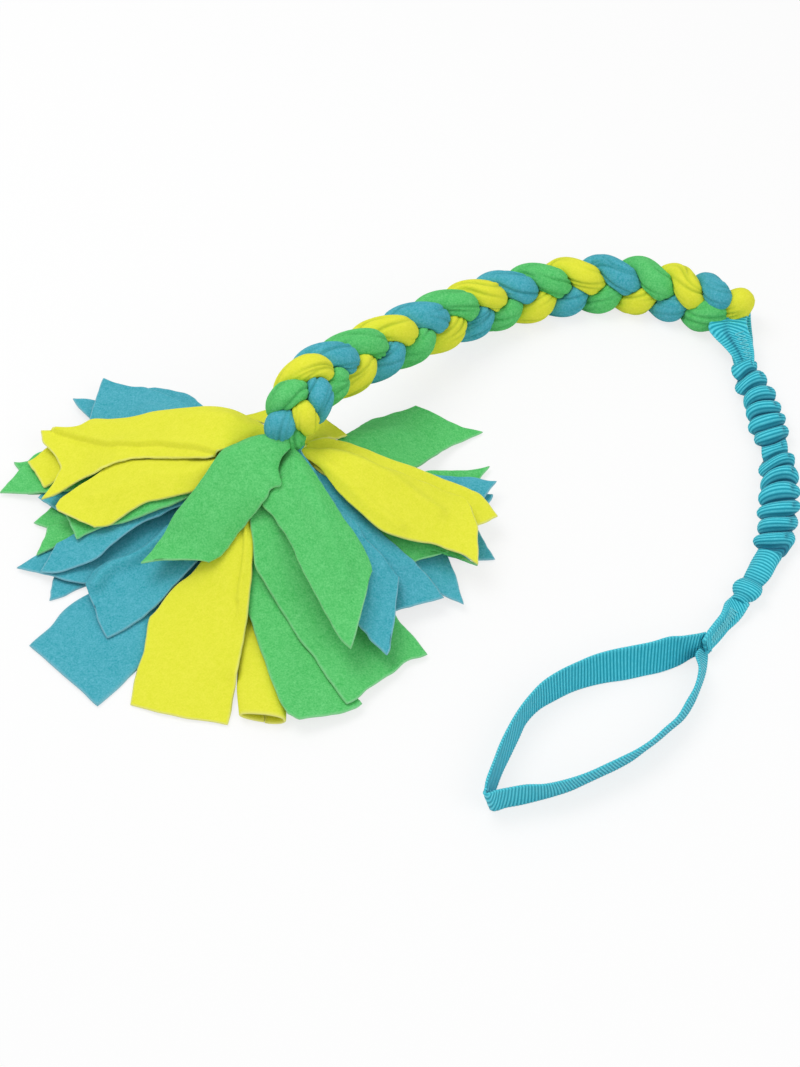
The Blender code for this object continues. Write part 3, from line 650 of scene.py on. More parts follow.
def rib_group():
    """Ribbed webbing: rounded ribs with a painted highlight on their tops and painted shade in the grooves
    between them, crossed by fine threads, and with painted shade down its creases.
    """
    group, given, out = new_group(
        "Webbing ribs", {"Colour": GREY, "Rib": GREY, "Pitch": 2.1 * MM, "Thread pitch": 0.8 * MM,
                         "Crease": 0.0, "Selvage": 0.0},
        ["Colour", "Height", "Roughness"])
    colour, rib, pitch, fine_pitch, crease, selvage = given.outputs[:6]
    ribs, turn = wave(group, stored(group, "along"), pitch)
    # the threads of one rib lie half a step beside those of the next
    sign = maths(group, "SIGN", maths(group, "SINE", times(group, turn, 0.5)))
    threads = wave(group, stored(group, "across"), fine_pitch, times(group, sign, 1.57))[0]
    uneven = noise(group, 420.0, 3.0, 0.6)
    top = spread(group, plus(group, times(group, ribs, 0.88), times(group, threads, 0.14)), 0.35, 1.0)
    # painted shade in the grooves between the ribs
    painted_groove_shade = tint(group, colour, (0.42, 0.62, 0.66))
    shade = mix_colour(group, spread(group, ribs, 0.0, 0.5), painted_groove_shade, colour)
    # painted highlight on the ribs' tops
    shade = mix_colour(group, times(group, top, spread(group, uneven, 0.3, 0.7, 0.5, 1.0)), shade, rib)
    shade = mix_colour(group, times(group, selvage, 0.35), shade, rib)
    # painted shade down the webbing's creases and fold grooves, as much as the crease attribute says
    deep = tint(group, shade, (0.10, 0.32, 0.40))
    height = plus(group, times(group, ribs, 0.6), times(group, threads, 0.14))
    feed(group, out, Colour=mix_colour(group, crease, shade, deep),
         Height=plus(group, height, times(group, uneven, 0.2)),
         Roughness=spread(group, ribs, 0.0, 1.0, 0.75, 0.5))
    return group


def new_material(name):
    made = bpy.data.materials.new(name)
    made.use_nodes = True
    return made, made.node_tree, made.node_tree.nodes["Principled BSDF"]


def group_node(tree, make, name):
    node = add_node(tree, "ShaderNodeGroup")
    node.node_tree = bpy.data.node_groups.get(name) or make()
    return node


def raise_bump(tree, shader, height, strength, distance):
    bump = feed(tree, add_node(tree, "ShaderNodeBump"), Height=height, Strength=strength, Distance=distance)
    feed(tree, shader, Normal=bump.outputs[0])


def fleece(slot):
    """The brushed fleece of one colour."""
    made, tree, shader = new_material(f"brushed_{slot}")
    nap = group_node(tree, nap_group, "Fleece nap")
    colour = getattr(settings()[0], slot.removeprefix("fleece_"))
    # the crease attribute drives the nap's painted shade down the creases
    feed(tree, nap, Colour=colour[:], Speckle=900.0, Contrast=0.3 if slot == "fleece_yellow" else 0.8,
         Cut_edge=stored(tree, "edge"), Crease=stored(tree, "crease"))
    feed(tree, shader, Base_Color=nap.outputs["Colour"], Roughness=0.95, Sheen_Weight=0.03,
         Sheen_Roughness=0.5, Specular_IOR_Level=0.08)
    raise_bump(tree, shader, nap.outputs["Height"], 0.4, 0.6 * MM)
    return made


def webbing():
    made, tree, shader = new_material("webbing_ribbed")
    ribs = group_node(tree, rib_group, "Webbing ribs")
    cloth = settings()[1]
    # the crease attribute drives the painted shade in the grooves and folds
    feed(tree, ribs, Colour=cloth.colour[:], Rib=cloth.rib[:], Pitch=cloth.pitch, Thread_pitch=0.8 * MM,
         Crease=stored(tree, "crease"), Selvage=stored(tree, "edge"))
    feed(tree, shader, Base_Color=ribs.outputs["Colour"], Roughness=ribs.outputs["Roughness"],
         Specular_IOR_Level=0.35, Sheen_Weight=0.1, Sheen_Roughness=0.4)
    raise_bump(tree, shader, ribs.outputs["Height"], 0.8, 0.4 * MM)
    return made


def thread():
    made, tree, shader = new_material("sewing_thread")
    twist = noise(tree, 2200.0)
    base = settings()[1].thread
    shade = mix_colour(tree, spread(tree, twist, 0.35, 0.65), tuple(0.7 * c for c in base), base[:])
    feed(tree, shader, Base_Color=shade, Roughness=0.7, Specular_IOR_Level=0.15)
    raise_bump(tree, shader, twist, 0.5, 0.2 * MM)
    return made


def material(slot):
    """The material of a slot, made at its first use."""
    if slot == "webbing":
        return bpy.data.materials.get("webbing_ribbed") or webbing()
    if slot == "thread":
        return bpy.data.materials.get("sewing_thread") or thread()
    return bpy.data.materials.get(f"brushed_{slot}") or fleece(slot)


# Tassel

def body_of_strip(number):
    lifting = f"lifting_strip_{number:02d}"
    return lifting if lifting in frame["bodies"] else "tug_body"


class Pile:
    """The height of the top of everything laid so far, over a square of table."""
    cell = 1.5 * MM
    reach = 225 * MM
    waist = 9 * MM

    def __init__(self, height, foot):
        self.count = int(round(2 * self.reach / self.cell)) + 1
        axis = np.linspace(-self.reach, self.reach, self.count)
        x, y = np.meshgrid(axis, axis, indexing="ij")
        share = np.clip((np.hypot(x, y) - self.waist) / (foot - self.waist), 0, 1)
        self.top = height * (1 + np.cos(np.pi * share)) / 2

    def under(self, plan):
        k = np.clip((plan + self.reach) / self.cell, 0, self.count - 1.001)
        i, f = k.astype(int), k - k.astype(int)
        t, x, y, fx, fy = self.top, i[..., 0], i[..., 1], f[..., 0], f[..., 1]
        near = t[x, y] * (1 - fx) + t[x + 1, y] * fx
        far = t[x, y + 1] * (1 - fx) + t[x + 1, y + 1] * fx
        return near * (1 - fy) + far * fy

    def lay(self, surface):
        """Raises the pile to a strip's upper surface."""
        fine = refine_both(surface, 4)
        k = np.clip(np.rint((fine[..., :2] + self.reach) / self.cell).astype(int), 1, self.count - 2)
        for dx, dy in ((0, 0), (1, 0), (-1, 0), (0, 1), (0, -1)):
            np.maximum.at(self.top, (k[..., 0] + dx, k[..., 1] + dy), fine[..., 2])


ROWS, COLS = 60, 13
ROOT_R, ROOT_HALF = 8 * MM, 5 * MM
SETTLE_ROUNDS = 320
CUT_WAVER = 0.4 * MM
# How far from the knot the strips are squeezed thin, and to what share of their thickness
BUNCHED, SQUEEZED, TOP_SQUEEZED = 70 * MM, 0.3, 0.75
TOP_STRIPS = (9, 10, 11, 24, 29, 30, 31, 32, 33, 34, 35, 36)


def strip_plan(bearing, edge_one, edge_two, cut):
    """A strip seen from above, root to tip by edge to edge."""
    b = math.radians(bearing)
    out, side = np.array([math.cos(b), math.sin(b)]), np.array([-math.sin(b), math.cos(b)])
    tips = [np.array(e[-1]) for e in (edge_one, edge_two)]
    turn = 1 if (tips[0] - tips[1]) @ side > 0 else -1
    edges = [np.vstack([out * ROOT_R + side * ROOT_HALF * s, np.array(e, float) * MM])
             for e, s in ((edge_one, turn), (edge_two, -turn))]
    a, b = (smooth_curve(e, ROWS) for e in edges)
    share = np.linspace(0, 1, COLS)[None, :, None]
    plan = a[:, None] * (1 - share) + b[:, None] * share
    if cut:
        end = np.vstack([a[-1:], np.array(cut, float) * MM, b[-1:]])
        end = at_lengths(end, np.linspace(0, lengths(end)[-1], COLS))
        pull = np.clip((np.linspace(0, 1, ROWS) - 0.6) / 0.4, 0, 1)[:, None, None] ** 2
        plan = plan + pull * (end - plan[-1])[None]
    return plan


def settle(pile, plan, lift):
    """Heights at which a strip rests on the pile, bridging its hollows and drooping as thick fleece does."""
    least = pile.under(plan) + lift
    z = least.copy()
    along = np.linalg.norm(np.diff(plan, axis=0), axis=2).mean()
    across = max(np.linalg.norm(np.diff(plan, axis=1), axis=2).mean(), 0.3 * along)
    wv, wu = 1 / along ** 2, 1 / across ** 2
    drop = settings()[0].droop / (2 * wv + 2 * wu)
    for _ in range(SETTLE_ROUNDS):
        p = np.pad(z, 1, mode="edge")
        mean = (wv * (p[:-2, 1:-1] + p[2:, 1:-1]) + wu * (p[1:-1, :-2] + p[1:-1, 2:])) / (2 * wv + 2 * wu)
        z = np.maximum(least, mean - drop)
    return z


class TUG_OT_tassel(bpy.types.Operator):
    """Lay the tassel's fleece strips over one another"""
    bl_idname = "tug.tassel"
    bl_label = "Fleece strips"

    def execute(self, context):
        cloth = settings()[0]
        pile = Pile(cloth.mound, cloth.foot)
        for number, colour, bearing, edge_one, edge_two, cut in STRIPS:
            plan = strip_plan(bearing, edge_one, edge_two, cut)
            away = np.linalg.norm(plan, axis=-1)
            least = TOP_SQUEEZED if number in TOP_STRIPS else SQUEEZED
            thick = cloth.thick * (least + (1 - least) * ease(away / BUNCHED))
            z = settle(pile, plan, cloth.gap * thick / cloth.thick)
            z += np.maximum(wander(number, (ROWS, COLS), (10, 3), 0.9 * MM), 0) * ease(away / (60 * MM))
            bare = np.concatenate([plan, z[..., None]], -1)
            low = raised(bare, relief(number, plan))
            n = np.cross(np.gradient(low, axis=1), np.gradient(low, axis=0))
            size = np.linalg.norm(n, axis=-1)
            lift = thick * size / np.maximum(np.abs(n[..., 2]), 0.35 * size)
            if number == ROLLED_STRIP:
                middle, tall = rolled(plan, z, thick)
                pile.lay(raised(low, lift + 2 * tall[:, None]))
                half = thick.mean(1)[:, None] / 2
            else:
                pile.lay(raised(low, lift))
                finer = 4 if number in CREASED else 2
                middle = refine_both(bare, finer)
                middle = raised(middle, relief(number, middle[..., :2]))
                middle = raised(middle, refine_both(lift[..., None] / 2, finer)[..., 0])
                half = refine_both(thick[..., None] / 2, finer)[..., 0]
            middle = roughen(number, middle)
            body = body_of_strip(number)
            piece = add_piece(f"strip_{number:02d}", sheet_shell(middle, half), f"fleece_{colour}",
                              body if body == "tug_body" else None, [f"strip_{number:02d}_{colour}"])
            if body != "tug_body":
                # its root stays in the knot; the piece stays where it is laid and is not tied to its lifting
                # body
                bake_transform(piece)
        return {"FINISHED"}


def roughen(number, middle):
    """The unevenness of hand-cut fleece: its cuts aren't quite straight."""
    rows, cols = middle.shape[:2]
    middle = middle.copy()
    du = unit(np.gradient(middle, axis=1))
    dv = unit(np.gradient(middle, axis=0))
    cut = wander(number + 50, (rows, 3), (34, 1), CUT_WAVER)
    middle[:, 0] += du[:, 0] * cut[:, :1]
    middle[:, -1] += du[:, -1] * cut[:, 2:]
    middle[-1] += dv[-1] * wander(number + 90, (cols, 1), (10, 1), CUT_WAVER)
    return middle


def from_line(plan, line):
    """Each point's distance from a line drawn over the plan, negative to the right of the line's way."""
    line = np.array(line, float) * MM
    best = np.full(plan.shape[:2], 1.0)
    side = np.ones(plan.shape[:2])
    for a, b in zip(line[:-1], line[1:]):
        way = b - a
        share = np.clip(((plan - a) @ way) / (way @ way), 0, 1)
        off = plan - a - share[..., None] * way
        d = np.linalg.norm(off, axis=-1)
        nearer = d < best
        side = np.where(nearer, np.sign(way[0] * off[..., 1] - way[1] * off[..., 0]), side)
        best = np.where(nearer, d, best)
    return best, side


def relief(number, plan):
    """How far a strip's own folds lift it above what it lies on."""
    rows, cols = plan.shape[:2]
    along = np.linspace(0, 1, rows)[:, None]
    across = np.linspace(-1, 1, cols)[None]
    crown = CROWNS.get(number, USUAL_CROWN) * MM
    rise = crown * (1 - across ** 2) * ease(along / 0.25) * (1 - 0.6 * ease((along - 0.7) / 0.3))
    for strip, kind, height, width, line in FOLDS:
        if strip != number:
            continue
        d, side = from_line(plan, line)
        share = np.exp(-(d / (width * MM)) ** 2)
        if kind == "step":
            share = np.where(side > 0, np.exp(-d / (width * MM)), np.exp(-(d / (0.9 * MM)) ** 2))
        rise = rise + height * MM * share
    return rise


def rolled(plan, z, thick):
    """A strip curled into an open roll: flat at its root, round at its cut end."""
    mid = (plan[:, 0] + plan[:, -1]) / 2
    half = np.linalg.norm(plan[:, -1] - plan[:, 0], axis=1) / 2 - 1 * MM
    side = np.c_[unit(plan[:, -1] - plan[:, 0]), 0 * mid[:, :1]]
    tall = (0.9 + 3.3 * ease((np.linspace(0, 1, ROWS) - 0.4) / 0.6)) * MM
    angle = np.radians(np.linspace(-178, 178, 37))
    centre = np.c_[mid, z.mean(1) + tall + thick.mean(1) / 2]
    wave = 1 + 0.06 * np.sin(3 * angle)[None] * ease(np.linspace(0, 1, ROWS)[:, None])
    return (centre[:, None] + side[:, None] * (half[:, None] * wave * np.sin(angle)[None])[..., None]
            + np.array([0, 0, 1.0]) * (tall[:, None] * wave * np.cos(angle)[None])[..., None]), tall


class TUG_OT_core(bpy.types.Operator):
    """Bunch the strips' middles under the knot and bind the neck"""
    bl_idname = "tug.core"
    bl_label = "Bunched middle and neck band"

    def execute(self, context):
        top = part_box("tassel_heart")[1].z
        high = np.linspace(0.5 * MM, top, 60)
        angle = circle(96)
        share = (high / top)[:, None]
        radius = (8.6 + 4.5 * (1 - ease(share / 0.8))) * MM * (0.55 + 0.45 * ease(share / 0.08))
        pleats = 0.11 * np.cos(7 * angle + 5 * share) + 0.05 * np.cos(12 * angle - 4 * share + 1)
        ring = radius * (1 + pleats * (1 - 0.7 * share))
        rings = np.stack([ring * np.cos(angle), ring * np.sin(angle), high[:, None] + 0 * ring], -1)
        add_piece("tassel_core", tube_shell(rings, edge=0.0), "fleece_green", "tug_body", ["tassel_heart"])
        low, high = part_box("neck_tie")
        turn = np.linspace(0, math.tau, 97)[:, None]
        radius = 0.62 * (high.x - low.x) / 2 + 0.9 * MM * np.sin(np.linspace(0, math.pi, 7))
        z = np.linspace(low.z, high.z, 7) + 0.4 * MM * np.sin(3 * turn)
        middle = np.stack([radius * np.cos(turn), radius * np.sin(turn), z], -1)
        add_piece("neck_band", sheet_shell(middle, 0.8 * MM), "fleece_green", "tug_body", ["neck_tie"])
        return {"FINISHED"}


# Plait

PLAIT_RINGS = 460
STRAND_SIDES = 84
STRAND_CREASES = 11
STRAND_FLATNESS = 1.14

# How steeply the plait's face looks up at its start and its end, in degrees
TILTS = (42, 13)

# How the blue, green and yellow strands end: how many rings short one stops, where it swells before the end
# and by what share, how long its rounded tip is, and how far it is drawn across the plait and out of its
# face. Lengths are in millimetres.
STRAND_ENDS = [(24, 34, -0.08, 8, 6.0, -3.0), (27, 52, 0.40, 9, 0.5, 4.5), (6, 26, 0.20, 17, 9.5, 0.0)]


def near_end(s, start, run):
    """Rises from 0 to 1 over a run that starts so many millimetres before the end."""
    return ease((s - s[-1] + start * MM) / (run * MM))


def plait_line():
    """The plait's middle line, the directions across it and out of its face, and the length along it."""
    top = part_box("tassel_heart")[1].z / MM
    points = np.array([(0, 0, top - 4), (0, 0, top + 5)] + PLAIT_ROUTE) * MM
    centre = smooth_curve(points, PLAIT_RINGS)
    way = tangents(centre)
    s = lengths(centre)
    tilt = np.radians(TILTS[0] + (TILTS[1] - TILTS[0]) * s / s[-1])
    face = np.stack([0 * tilt, -np.cos(tilt), np.sin(tilt)], 1)
    face = unit(face - way * (face * way).sum(1, keepdims=True))
    return centre, unit(np.cross(face, way)), face, s


def strand_line(place):
    """One strand's middle line, a figure of eight across the plait, and the direction across the plait."""
    cloth = settings()[0]
    centre, across, face, s = plait_line()
    knots = np.array(PLAIT_TURNS)
    turns = smooth_curve(np.c_[knots, 0 * knots[:, :1]], 600)
    psi = math.tau * (np.interp(s / MM, turns[:, 0], turns[:, 1]) - place / 3)
    opening = ease(s / (30 * MM))
    closing = near_end(s, 24, 20)
    narrower, flatter = (1.0, 0.8) if place == 2 else (0.1, 0.2)
    wide = cloth.half_width * (0.5 + 0.5 * opening) * (1 - narrower * closing)
    deep = cloth.half_depth * (0.6 + 0.4 * opening) * (1 - flatter * closing)
    up, out = STRAND_ENDS[place][4:]
    shift = near_end(s, 38, 26) * MM
    line = (centre + across * (wide * np.cos(psi) + up * shift)[:, None]
            + face * (deep * np.sin(2 * psi) + out * shift)[:, None])
    if place == 2:
        # no sharp turn in the fold that closes the end
        longer = np.pad(line, ((15, 15), (0, 0)), mode="reflect", reflect_type="odd")
        even = np.stack([np.convolve(longer[:, k], np.ones(31) / 31, "valid") for k in range(3)], 1)
        line = line + closing[:, None] * (even - line)
    return line, across


def strand_rings(place):
    """A strand's skin, plump where it is free and flattened where another presses on it, and its creases."""
    cloth = settings()[0]
    lines = [strand_line(k) for k in range(3)]
    line, across = lines[place]
    short, swells, swelling, tip = STRAND_ENDS[place][:4]
    way = tangents(line)
    side = unit(across - way * (across * way).sum(1, keepdims=True))
    angle = circle(STRAND_SIDES)
    out = around(side, unit(np.cross(way, side)), angle)
    s = lengths(line)
    size = cloth.strand * (0.66 + 0.34 * ease(s / (34 * MM))) * (1 + swelling * near_end(s, swells, 18))
    free = size[:, None] / np.sqrt((np.cos(angle) / STRAND_FLATNESS) ** 2 + np.sin(angle) ** 2)
    room = np.full((PLAIT_RINGS, STRAND_SIDES), 40 * MM)
    for other in {0, 1, 2} - {place}:
        for shift in range(-48, 49, 2):
            j = np.clip(np.arange(PLAIT_RINGS) + shift, 0, PLAIT_RINGS - 1 - STRAND_ENDS[other][0])
            v = lines[other][0][j] - line
            lean = np.einsum("ik,ijk->ij", v, out)
            reach = (v ** 2).sum(1)[:, None] / np.maximum(2 * lean, 1e-6)
            room = np.where(lean > 0, np.minimum(room, reach), room)
    if place == 2:
        # its fold closes the plait's end over the other two
        room = room + 30 * MM * near_end(s, 25, 9)[:, None]
    if place == 1:
        room = room + 5 * MM * near_end(s, 56, 16)[:, None]
    if place == 0:
        # its first lobe is drawn over the others where the neck is bound
        first = (1 - ease((s - 14 * MM) / (16 * MM)))[:, None]
        free = free * (1 + 0.30 * first)
        room = room + 3 * MM * first
    soft = 0.7 * MM
    radius = -soft * np.log(np.exp(-free / soft) + np.exp(-(room - 0.05 * MM) / soft))
    for _ in range(2):
        padded = np.pad(radius, ((1, 1), (0, 0)), mode="edge")
        radius = (padded[:-2] + 2 * padded[1:-1] + padded[2:]) / 4
        radius = (np.roll(radius, 1, 1) + 2 * radius + np.roll(radius, -1, 1)) / 4
    # the strand is a strip gathered lengthwise, so creases run along it and drift slowly round
    draw = np.random.default_rng(20 + place)
    crease = np.zeros((PLAIT_RINGS, STRAND_SIDES))
    for k in range(STRAND_CREASES):
        at = math.tau * (k + draw.uniform(-0.32, 0.32)) / STRAND_CREASES
        drift = at + 0.5 * np.sin(math.tau * s / (draw.uniform(60, 110) * MM) + draw.uniform(0, 6))
        gap = (angle[None] - drift[:, None] + math.pi) % (math.tau) - math.pi
        depth = draw.uniform(0.5, 1.0) * (0.55 + 0.45 * np.sin(
            math.tau * s / (draw.uniform(24, 50) * MM) + draw.uniform(0, 6)))
        crease = np.maximum(crease, depth[:, None] * np.exp(-np.abs(gap / 0.11) ** 1.5))
    if place == 2:
        crease = crease * (1 - 0.75 * near_end(s, 22, 8))[:, None]
    radius = radius + 0.35 * MM - cloth.crease * crease
    count = PLAIT_RINGS - short
    end = np.clip(np.minimum(s, s[count - 1] - s)[:, None] / (tip * MM), 0, 1)
    radius = radius * np.sqrt(np.clip(1 - (1 - end) ** 2, 0.02, 1))
    rings = (line[:, None] + out * radius[..., None])[:count]
    rings[..., 2] = np.maximum(rings[..., 2], TABLE_GAP)
    return rings, crease[:count]


class TUG_OT_plait(bpy.types.Operator):
    """Plait the three fleece strands"""
    bl_idname = "tug.plait"
    bl_label = "Plait"

    def execute(self, context):
        for place, colour in enumerate(("blue", "green", "yellow")):
            rings, crease = strand_rings(place)
            # the crease depth is also kept on the strand for the fleece's painted shade down its creases
            shell = tube_shell(rings, edge=0.0, crease=crease)
            add_piece(f"plait_{colour}", shell, f"fleece_{colour}", "tug_body", [f"plait_strand_{colour}"])
        return {"FINISHED"}


# Webbing

RIB_HEIGHT = 0.12 * MM
STEM_HALF = 1.45 * MM
THREAD_RADIUS = 0.35 * MM
SLEEVE_HEIGHT = 7.6 * MM
SLEEVE_RINGS = 620
SLEEVE_SIDES = 64


def ribs(along):
    """How far the webbing's ribs rise over its length, and sink between them."""
    return RIB_HEIGHT * np.cos(math.tau * along / settings()[1].pitch)


def strap(left, right, cols):
    """A strap's middle surface between two edge lines, and how far along and across it each point is."""
    share = np.linspace(0, 1, cols)[None, :, None]
    middle = left[:, None] * (1 - share) + right[:, None] * share
    along = lengths((left + right) / 2)[:, None] + 0 * share[..., 0]
    across = (share[..., 0] - 0.5) * np.linalg.norm(right - left, axis=1)[:, None]
    return middle, along, across


class TUG_OT_hand_loop(bpy.types.Operator):
    """Bend the hand loop's band and roll its seam"""
    bl_idname = "tug.hand_loop"
    bl_label = "Hand loop"

    def execute(self, context):
        net = np.array(LOOP_BAND, float) * MM
        foot = np.c_[net[:, :2], np.full(len(net), 0.5 * MM)]
        both = smooth_curve(np.c_[foot, net[:, 2:]], 1500)
        middle, along, across = strap(both[:, :3], both[:, 3:], 11)
        # the ribs lean one way up to the bend, the other way round it, and hardly at all on the way back
        lean = 8 * MM - 17 * MM * ease((along - 0.186) / 0.012) + 7 * MM * ease((along - 0.215) / 0.04)
        along = along + lean * np.linspace(0, 1, 11)
        shell = sheet_shell(middle, settings()[1].thick / 2 + ribs(along), along=along, across=across)
        add_piece("loop_band", shell, "webbing", "hand_loop", ["hand_loop"])
        low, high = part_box("loop_seam")
        centre = (low + high) / 2
        turn = np.linspace(0, math.tau * 1.35, 160)
        radius = np.linspace(2.6, 1.1, 160) * MM
        line = np.stack([centre.x + radius * np.cos(turn), centre.y + radius * np.sin(turn), 0 * turn], 1)
        middle, along, across = strap(line + [0, 0, 0.8 * MM], line + [0, 0, 0.55 * high.z], 9)
        shell = sheet_shell(middle, 0.7 * MM, along=along, across=across)
        add_piece("seam_roll", shell, "webbing", "hand_loop", ["loop_seam"])
        return {"FINISHED"}


def turned_edges(centre, width, turn):
    """The edges of a strap that is turned about its middle line, and the way out of its face."""
    way = tangents(centre)
    flat = unit(np.cross(way, [0, 0, 1.0]))
    side = flat * np.cos(turn)[:, None] + np.cross(flat, way) * np.sin(turn)[:, None]
    half = side * (width[:, None] / 2)
    return centre - half, centre + half, np.cross(side, way)


class TUG_OT_end_loop(bpy.types.Operator):
    """Fold the webbing eye round the plait's end"""
    bl_idname = "tug.end_loop"
    bl_label = "Webbing end loop"

    def execute(self, context):
        line = smooth_curve(np.array(END_LOOP, float)[:, [0, 2, 3, 1, 4]] * MM, 360)
        near, far = line[:, :3], np.c_[line[:, 3], line[:, 1:3]]
        middle, along, across = strap(near, far, 17)
        share = np.linspace(-1, 1, 17)
        up = unit(np.cross(tangents((near + far) / 2), unit(far - near)))
        up = up * np.sign(up[:1, 2:])
        fold = line[:, 4:]
        folded = np.clip(fold / (3 * MM), 0, 1)
        middle = middle + up[:, None] * (fold * (np.sqrt(share ** 2 + 0.02) - 0.5))[..., None]
        along = along + 0.7 * np.abs(across) * folded
        # painted shade along the fold down the eye's middle
        crease = np.exp(-((share + 0.15) / 0.17) ** 2) * folded * 0.8
        shell = sheet_shell(middle, settings()[1].thick / 2 + ribs(along), along=along, across=across,
                            crease=crease)
        add_piece("end_loop", shell, "webbing", "bungee_top", ["webbing_end_loop"])
        low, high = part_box("end_loop_tack")
        places = []
        for k, y in enumerate(np.linspace(low.y + 1 * MM, high.y + 8 * MM, 14)):
            row = np.argmin(np.abs(line[:160, 1] - y))
            places.append(middle[row, (10, 14)[k % 2]] + up[row] * MM)
        stitches("end_loop_stitches", places, "bungee_top", "end_loop_tack")
        return {"FINISHED"}


def stitches(name, places, body, node):
    """A row of stitches: thread laid to and fro over a strap."""
    line = smooth_curve(np.array(places), 12 * len(places))
    way = tangents(line)
    side = unit(np.cross(way, [0, 0, 1.0]))
    out = around(side, np.cross(side, way), circle(10))
    add_piece(name, tube_shell(line[:, None] + out * THREAD_RADIUS), "thread", body, [node])


class TUG_OT_sleeve(bpy.types.Operator):
    """Gather the sleeve over its elastic cord"""
    bl_idname = "tug.sleeve"
    bl_label = "Gathered sleeve and cord"

    def execute(self, context):
        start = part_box("webbing_end_loop")[0].y
        route = np.array([(290, start / MM - 0.3)] + SLEEVE_ROUTE) * MM
        base = smooth_curve(np.c_[route, np.full(len(route), SLEEVE_HEIGHT)], 2000)
        total = lengths(base)[-1]
        fine = np.linspace(-12 * MM, total + 12 * MM, 4000)
        grooves, necks, crests = np.array(SLEEVE_FOLDS).T * MM
        neck = np.interp(fine, grooves, necks)
        phase = np.interp(fine, grooves, np.arange(len(grooves)))
        bulge = np.abs(np.sin(math.pi * phase)) ** 0.8
        profile = neck + (crests[np.minimum(phase.astype(int), len(crests) - 1)] - neck) * bulge
        surface = lengths(np.c_[fine, 0.8 * profile])

        place = np.linspace(0, total, SLEEVE_RINGS)
        line = at_lengths(np.c_[base, tangents(base)], place)
        side = unit(np.cross(line[:, 3:], [0, 0, 1.0]))
        angle = circle(SLEEVE_SIDES)
        cos, sin, place = np.cos(angle), np.sin(angle), place[:, None]
        # the folds slant across the sleeve, more so beyond the waist, and each leans in its own way
        slant = (2.2 + 1.8 * ease((place - 70 * MM) / (30 * MM))) * MM
        slant = slant * (1 - ease((place - 150 * MM) / (14 * MM)))
        loose = slant > 0.1 * MM
        lean = (slant * cos + 1.5 * MM * np.sin(place / (9.3 * MM)) * sin
                + 1.1 * MM * np.sin(2 * angle + place / (13 * MM)) * loose)
        seen = np.clip(place - lean, fine[0], fine[-1])
        full = np.interp(seen, fine, bulge)
        # the elastic's stitches pull a small pucker into each fold down the far side
        pucker = np.exp(-((angle - 2.35) / 0.17) ** 2) * full ** 6 * (slant > 0.5 * MM)
        uneven = (0.45 * np.sin(3 * angle + place / (6.1 * MM))
                  + 0.7 * np.sin(2 * angle + 2.1 * np.floor(np.interp(seen, fine, phase)))) * MM * full
        along = np.interp(seen, fine, surface)
        wide = np.interp(seen, fine, profile) + uneven - 1.6 * MM * pucker + ribs(along)
        rings = line[:, None, :3] + side[:, None] * (wide * cos)[..., None]
        rings[..., 2] += (0.61 * wide - 4.2 * MM * (1 - full) ** 1.3 * loose) * sin
        rings[..., 2] = np.maximum(rings[..., 2], TABLE_GAP)
        across = (angle - math.pi) * 9 * MM + 0 * along
        # painted shade in the grooves between the folds and in the puckers
        crease = np.clip(1.25 * (1 - full) ** 1.2 + 0.7 * pucker, 0, 1) * (0.25 + 0.75 * loose)
        piece = add_piece("bungee_sleeve", tube_shell(rings, along=along, across=across, crease=crease),
                          "webbing", None, ["gathered_sleeve", "bungee_cord"])
        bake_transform(piece)
        return {"FINISHED"}


class TUG_OT_stem(bpy.types.Operator):
    """Sew the stem between the sleeve and the hand loop"""
    bl_idname = "tug.stem"
    bl_label = "Stem"

    def execute(self, context):
        line = smooth_curve(np.array(STEM_ROUTE, float) * MM, 200)
        centre = line[:, :3]
        turn = 1.15 * ease(np.linspace(0, 1, 200) / 0.5)
        left, right, up = turned_edges(centre, line[:, 3], turn)
        middle, along, across = strap(left, right, 13)
        along = along + 0.6 * across
        shell = sheet_shell(middle, STEM_HALF + ribs(along), along=along, across=across)
        piece = add_piece("stem_webbing", shell, "webbing", None, ["stem"])
        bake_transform(piece)
        up = up * np.sign(up[:, 2:]) * 1.75 * MM
        places = [middle[row, (3, 9)[k % 2]] + up[row] for k, row in enumerate(range(44, 176, 5))]
        stitches("stem_stitches", places, "stem", "stem_tack")
        return {"FINISHED"}


# Stage

CAMERA_TARGET = Vector((0.067, -0.024, 0))
CAMERA_DISTANCE = 1.84
CAMERA_ELEVATION = math.radians(50)
LAMP_TARGET = Vector((0.06, 0, 0))
FLOOR_HALF = 6


def show_white(tree, lit, kind, output, share):
    """Shows the camera plain white in place of a lit surface, by a share."""
    plain = feed(tree, add_node(tree, kind), Color=(1, 1, 1), Strength=1.0)
    seen = times(tree, add_node(tree, "ShaderNodeLightPath").outputs["Is Camera Ray"], share)
    mixed = add_node(tree, "ShaderNodeMixShader")
    feed(tree, mixed, i0=seen, i1=lit.outputs[0], i2=plain.outputs[0])
    feed(tree, tree.nodes[output], Surface=mixed.outputs[0])


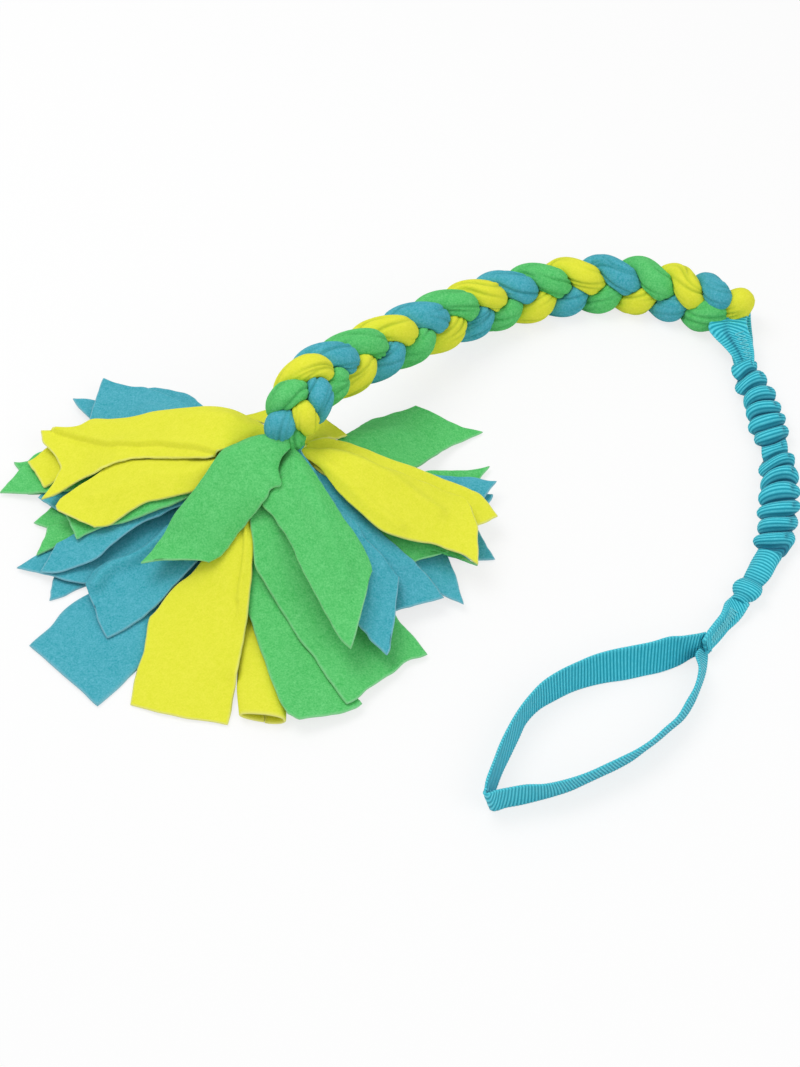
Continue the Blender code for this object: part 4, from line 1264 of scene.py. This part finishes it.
class TUG_OT_stage(bpy.types.Operator):
    """Set up the pale floor, the soft light and the camera"""
    bl_idname = "tug.stage"
    bl_label = "Floor, light and camera"

    def execute(self, context):
        scene = context.scene
        stage = settings()[2]
        back = Vector((0, -math.cos(CAMERA_ELEVATION), math.sin(CAMERA_ELEVATION)))
        data = bpy.data.cameras.new("camera")
        data.lens, data.sensor_fit, data.sensor_height, data.sensor_width = 100, "VERTICAL", 36, 36
        data.clip_end = 20
        camera = add_object("camera", data)
        camera.location = CAMERA_TARGET + back * CAMERA_DISTANCE
        camera.rotation_euler = back.to_track_quat("Z", "Y").to_euler()
        scene.camera = camera

        mesh = bpy.data.meshes.new("floor")
        corners = [(x * FLOOR_HALF, y * FLOOR_HALF, 0) for x, y in ((-1, -1), (1, -1), (1, 1), (-1, 1))]
        mesh.from_pydata(corners, [], [(0, 1, 2, 3)])
        add_object("floor", mesh)
        made, tree, shader = new_material("pale_floor")
        feed(tree, shader, Base_Color=(0.9, 0.9, 0.9), Roughness=1.0, Specular_IOR_Level=0.0)
        show_white(tree, shader, "ShaderNodeEmission", "Material Output", 0.75)
        mesh.materials.append(made)

        for name, place, power, size in (("key_light", (-0.5, 0.3, 1.5), stage.lamp, 1.0),
                                         ("fill_light", (1.1, -0.9, 1.2), 0.6 * stage.lamp, 1.2)):
            lamp = bpy.data.lights.new(name, "AREA")
            lamp.energy, lamp.size = power, size
            light = add_object(name, lamp)
            light.location = place
            light.rotation_euler = (LAMP_TARGET - Vector(place)).to_track_quat("-Z", "Y").to_euler()

        world = bpy.data.worlds.new("studio")
        world.use_nodes = True
        scene.world = world
        tree = world.node_tree
        room = feed(tree, tree.nodes["Background"], Color=(1, 1, 1), Strength=stage.world)
        show_white(tree, room, "ShaderNodeBackground", "World Output", 1.0)
        scene.view_settings.view_transform = "Standard"
        return {"FINISHED"}


PIECES = [TUG_OT_core, TUG_OT_tassel, TUG_OT_plait, TUG_OT_end_loop, TUG_OT_sleeve, TUG_OT_stem,
          TUG_OT_hand_loop, TUG_OT_stage]


class TUG_PT_panel(bpy.types.Panel):
    """Lists the toy's pieces in the sidebar"""
    bl_idname = "TUG_PT_panel"
    bl_label = "Tug toy"
    bl_space_type = "VIEW_3D"
    bl_region_type = "UI"
    bl_category = "Tug toy"

    def draw(self, context):
        for group in settings():
            for key in group.__annotations__:
                self.layout.prop(group, key)
        for operator in PIECES:
            self.layout.operator(operator.bl_idname)


SETTINGS = {"tug_fleece": FleeceSettings, "tug_webbing": WebbingSettings, "tug_stage": StageSettings}


def register():
    for made in [*SETTINGS.values(), *PIECES, TUG_PT_panel]:
        bpy.utils.register_class(made)
    for key, made in SETTINGS.items():
        setattr(bpy.types.Scene, key, PointerProperty(type=made))


def unregister():
    for key in SETTINGS:
        delattr(bpy.types.Scene, key)
    for made in reversed([*SETTINGS.values(), *PIECES, TUG_PT_panel]):
        bpy.utils.unregister_class(made)


def main():
    register()
    for operator in PIECES:
        group, name = operator.bl_idname.split(".")
        getattr(getattr(bpy.ops, group), name)()


if __name__ == "__main__":
    main()
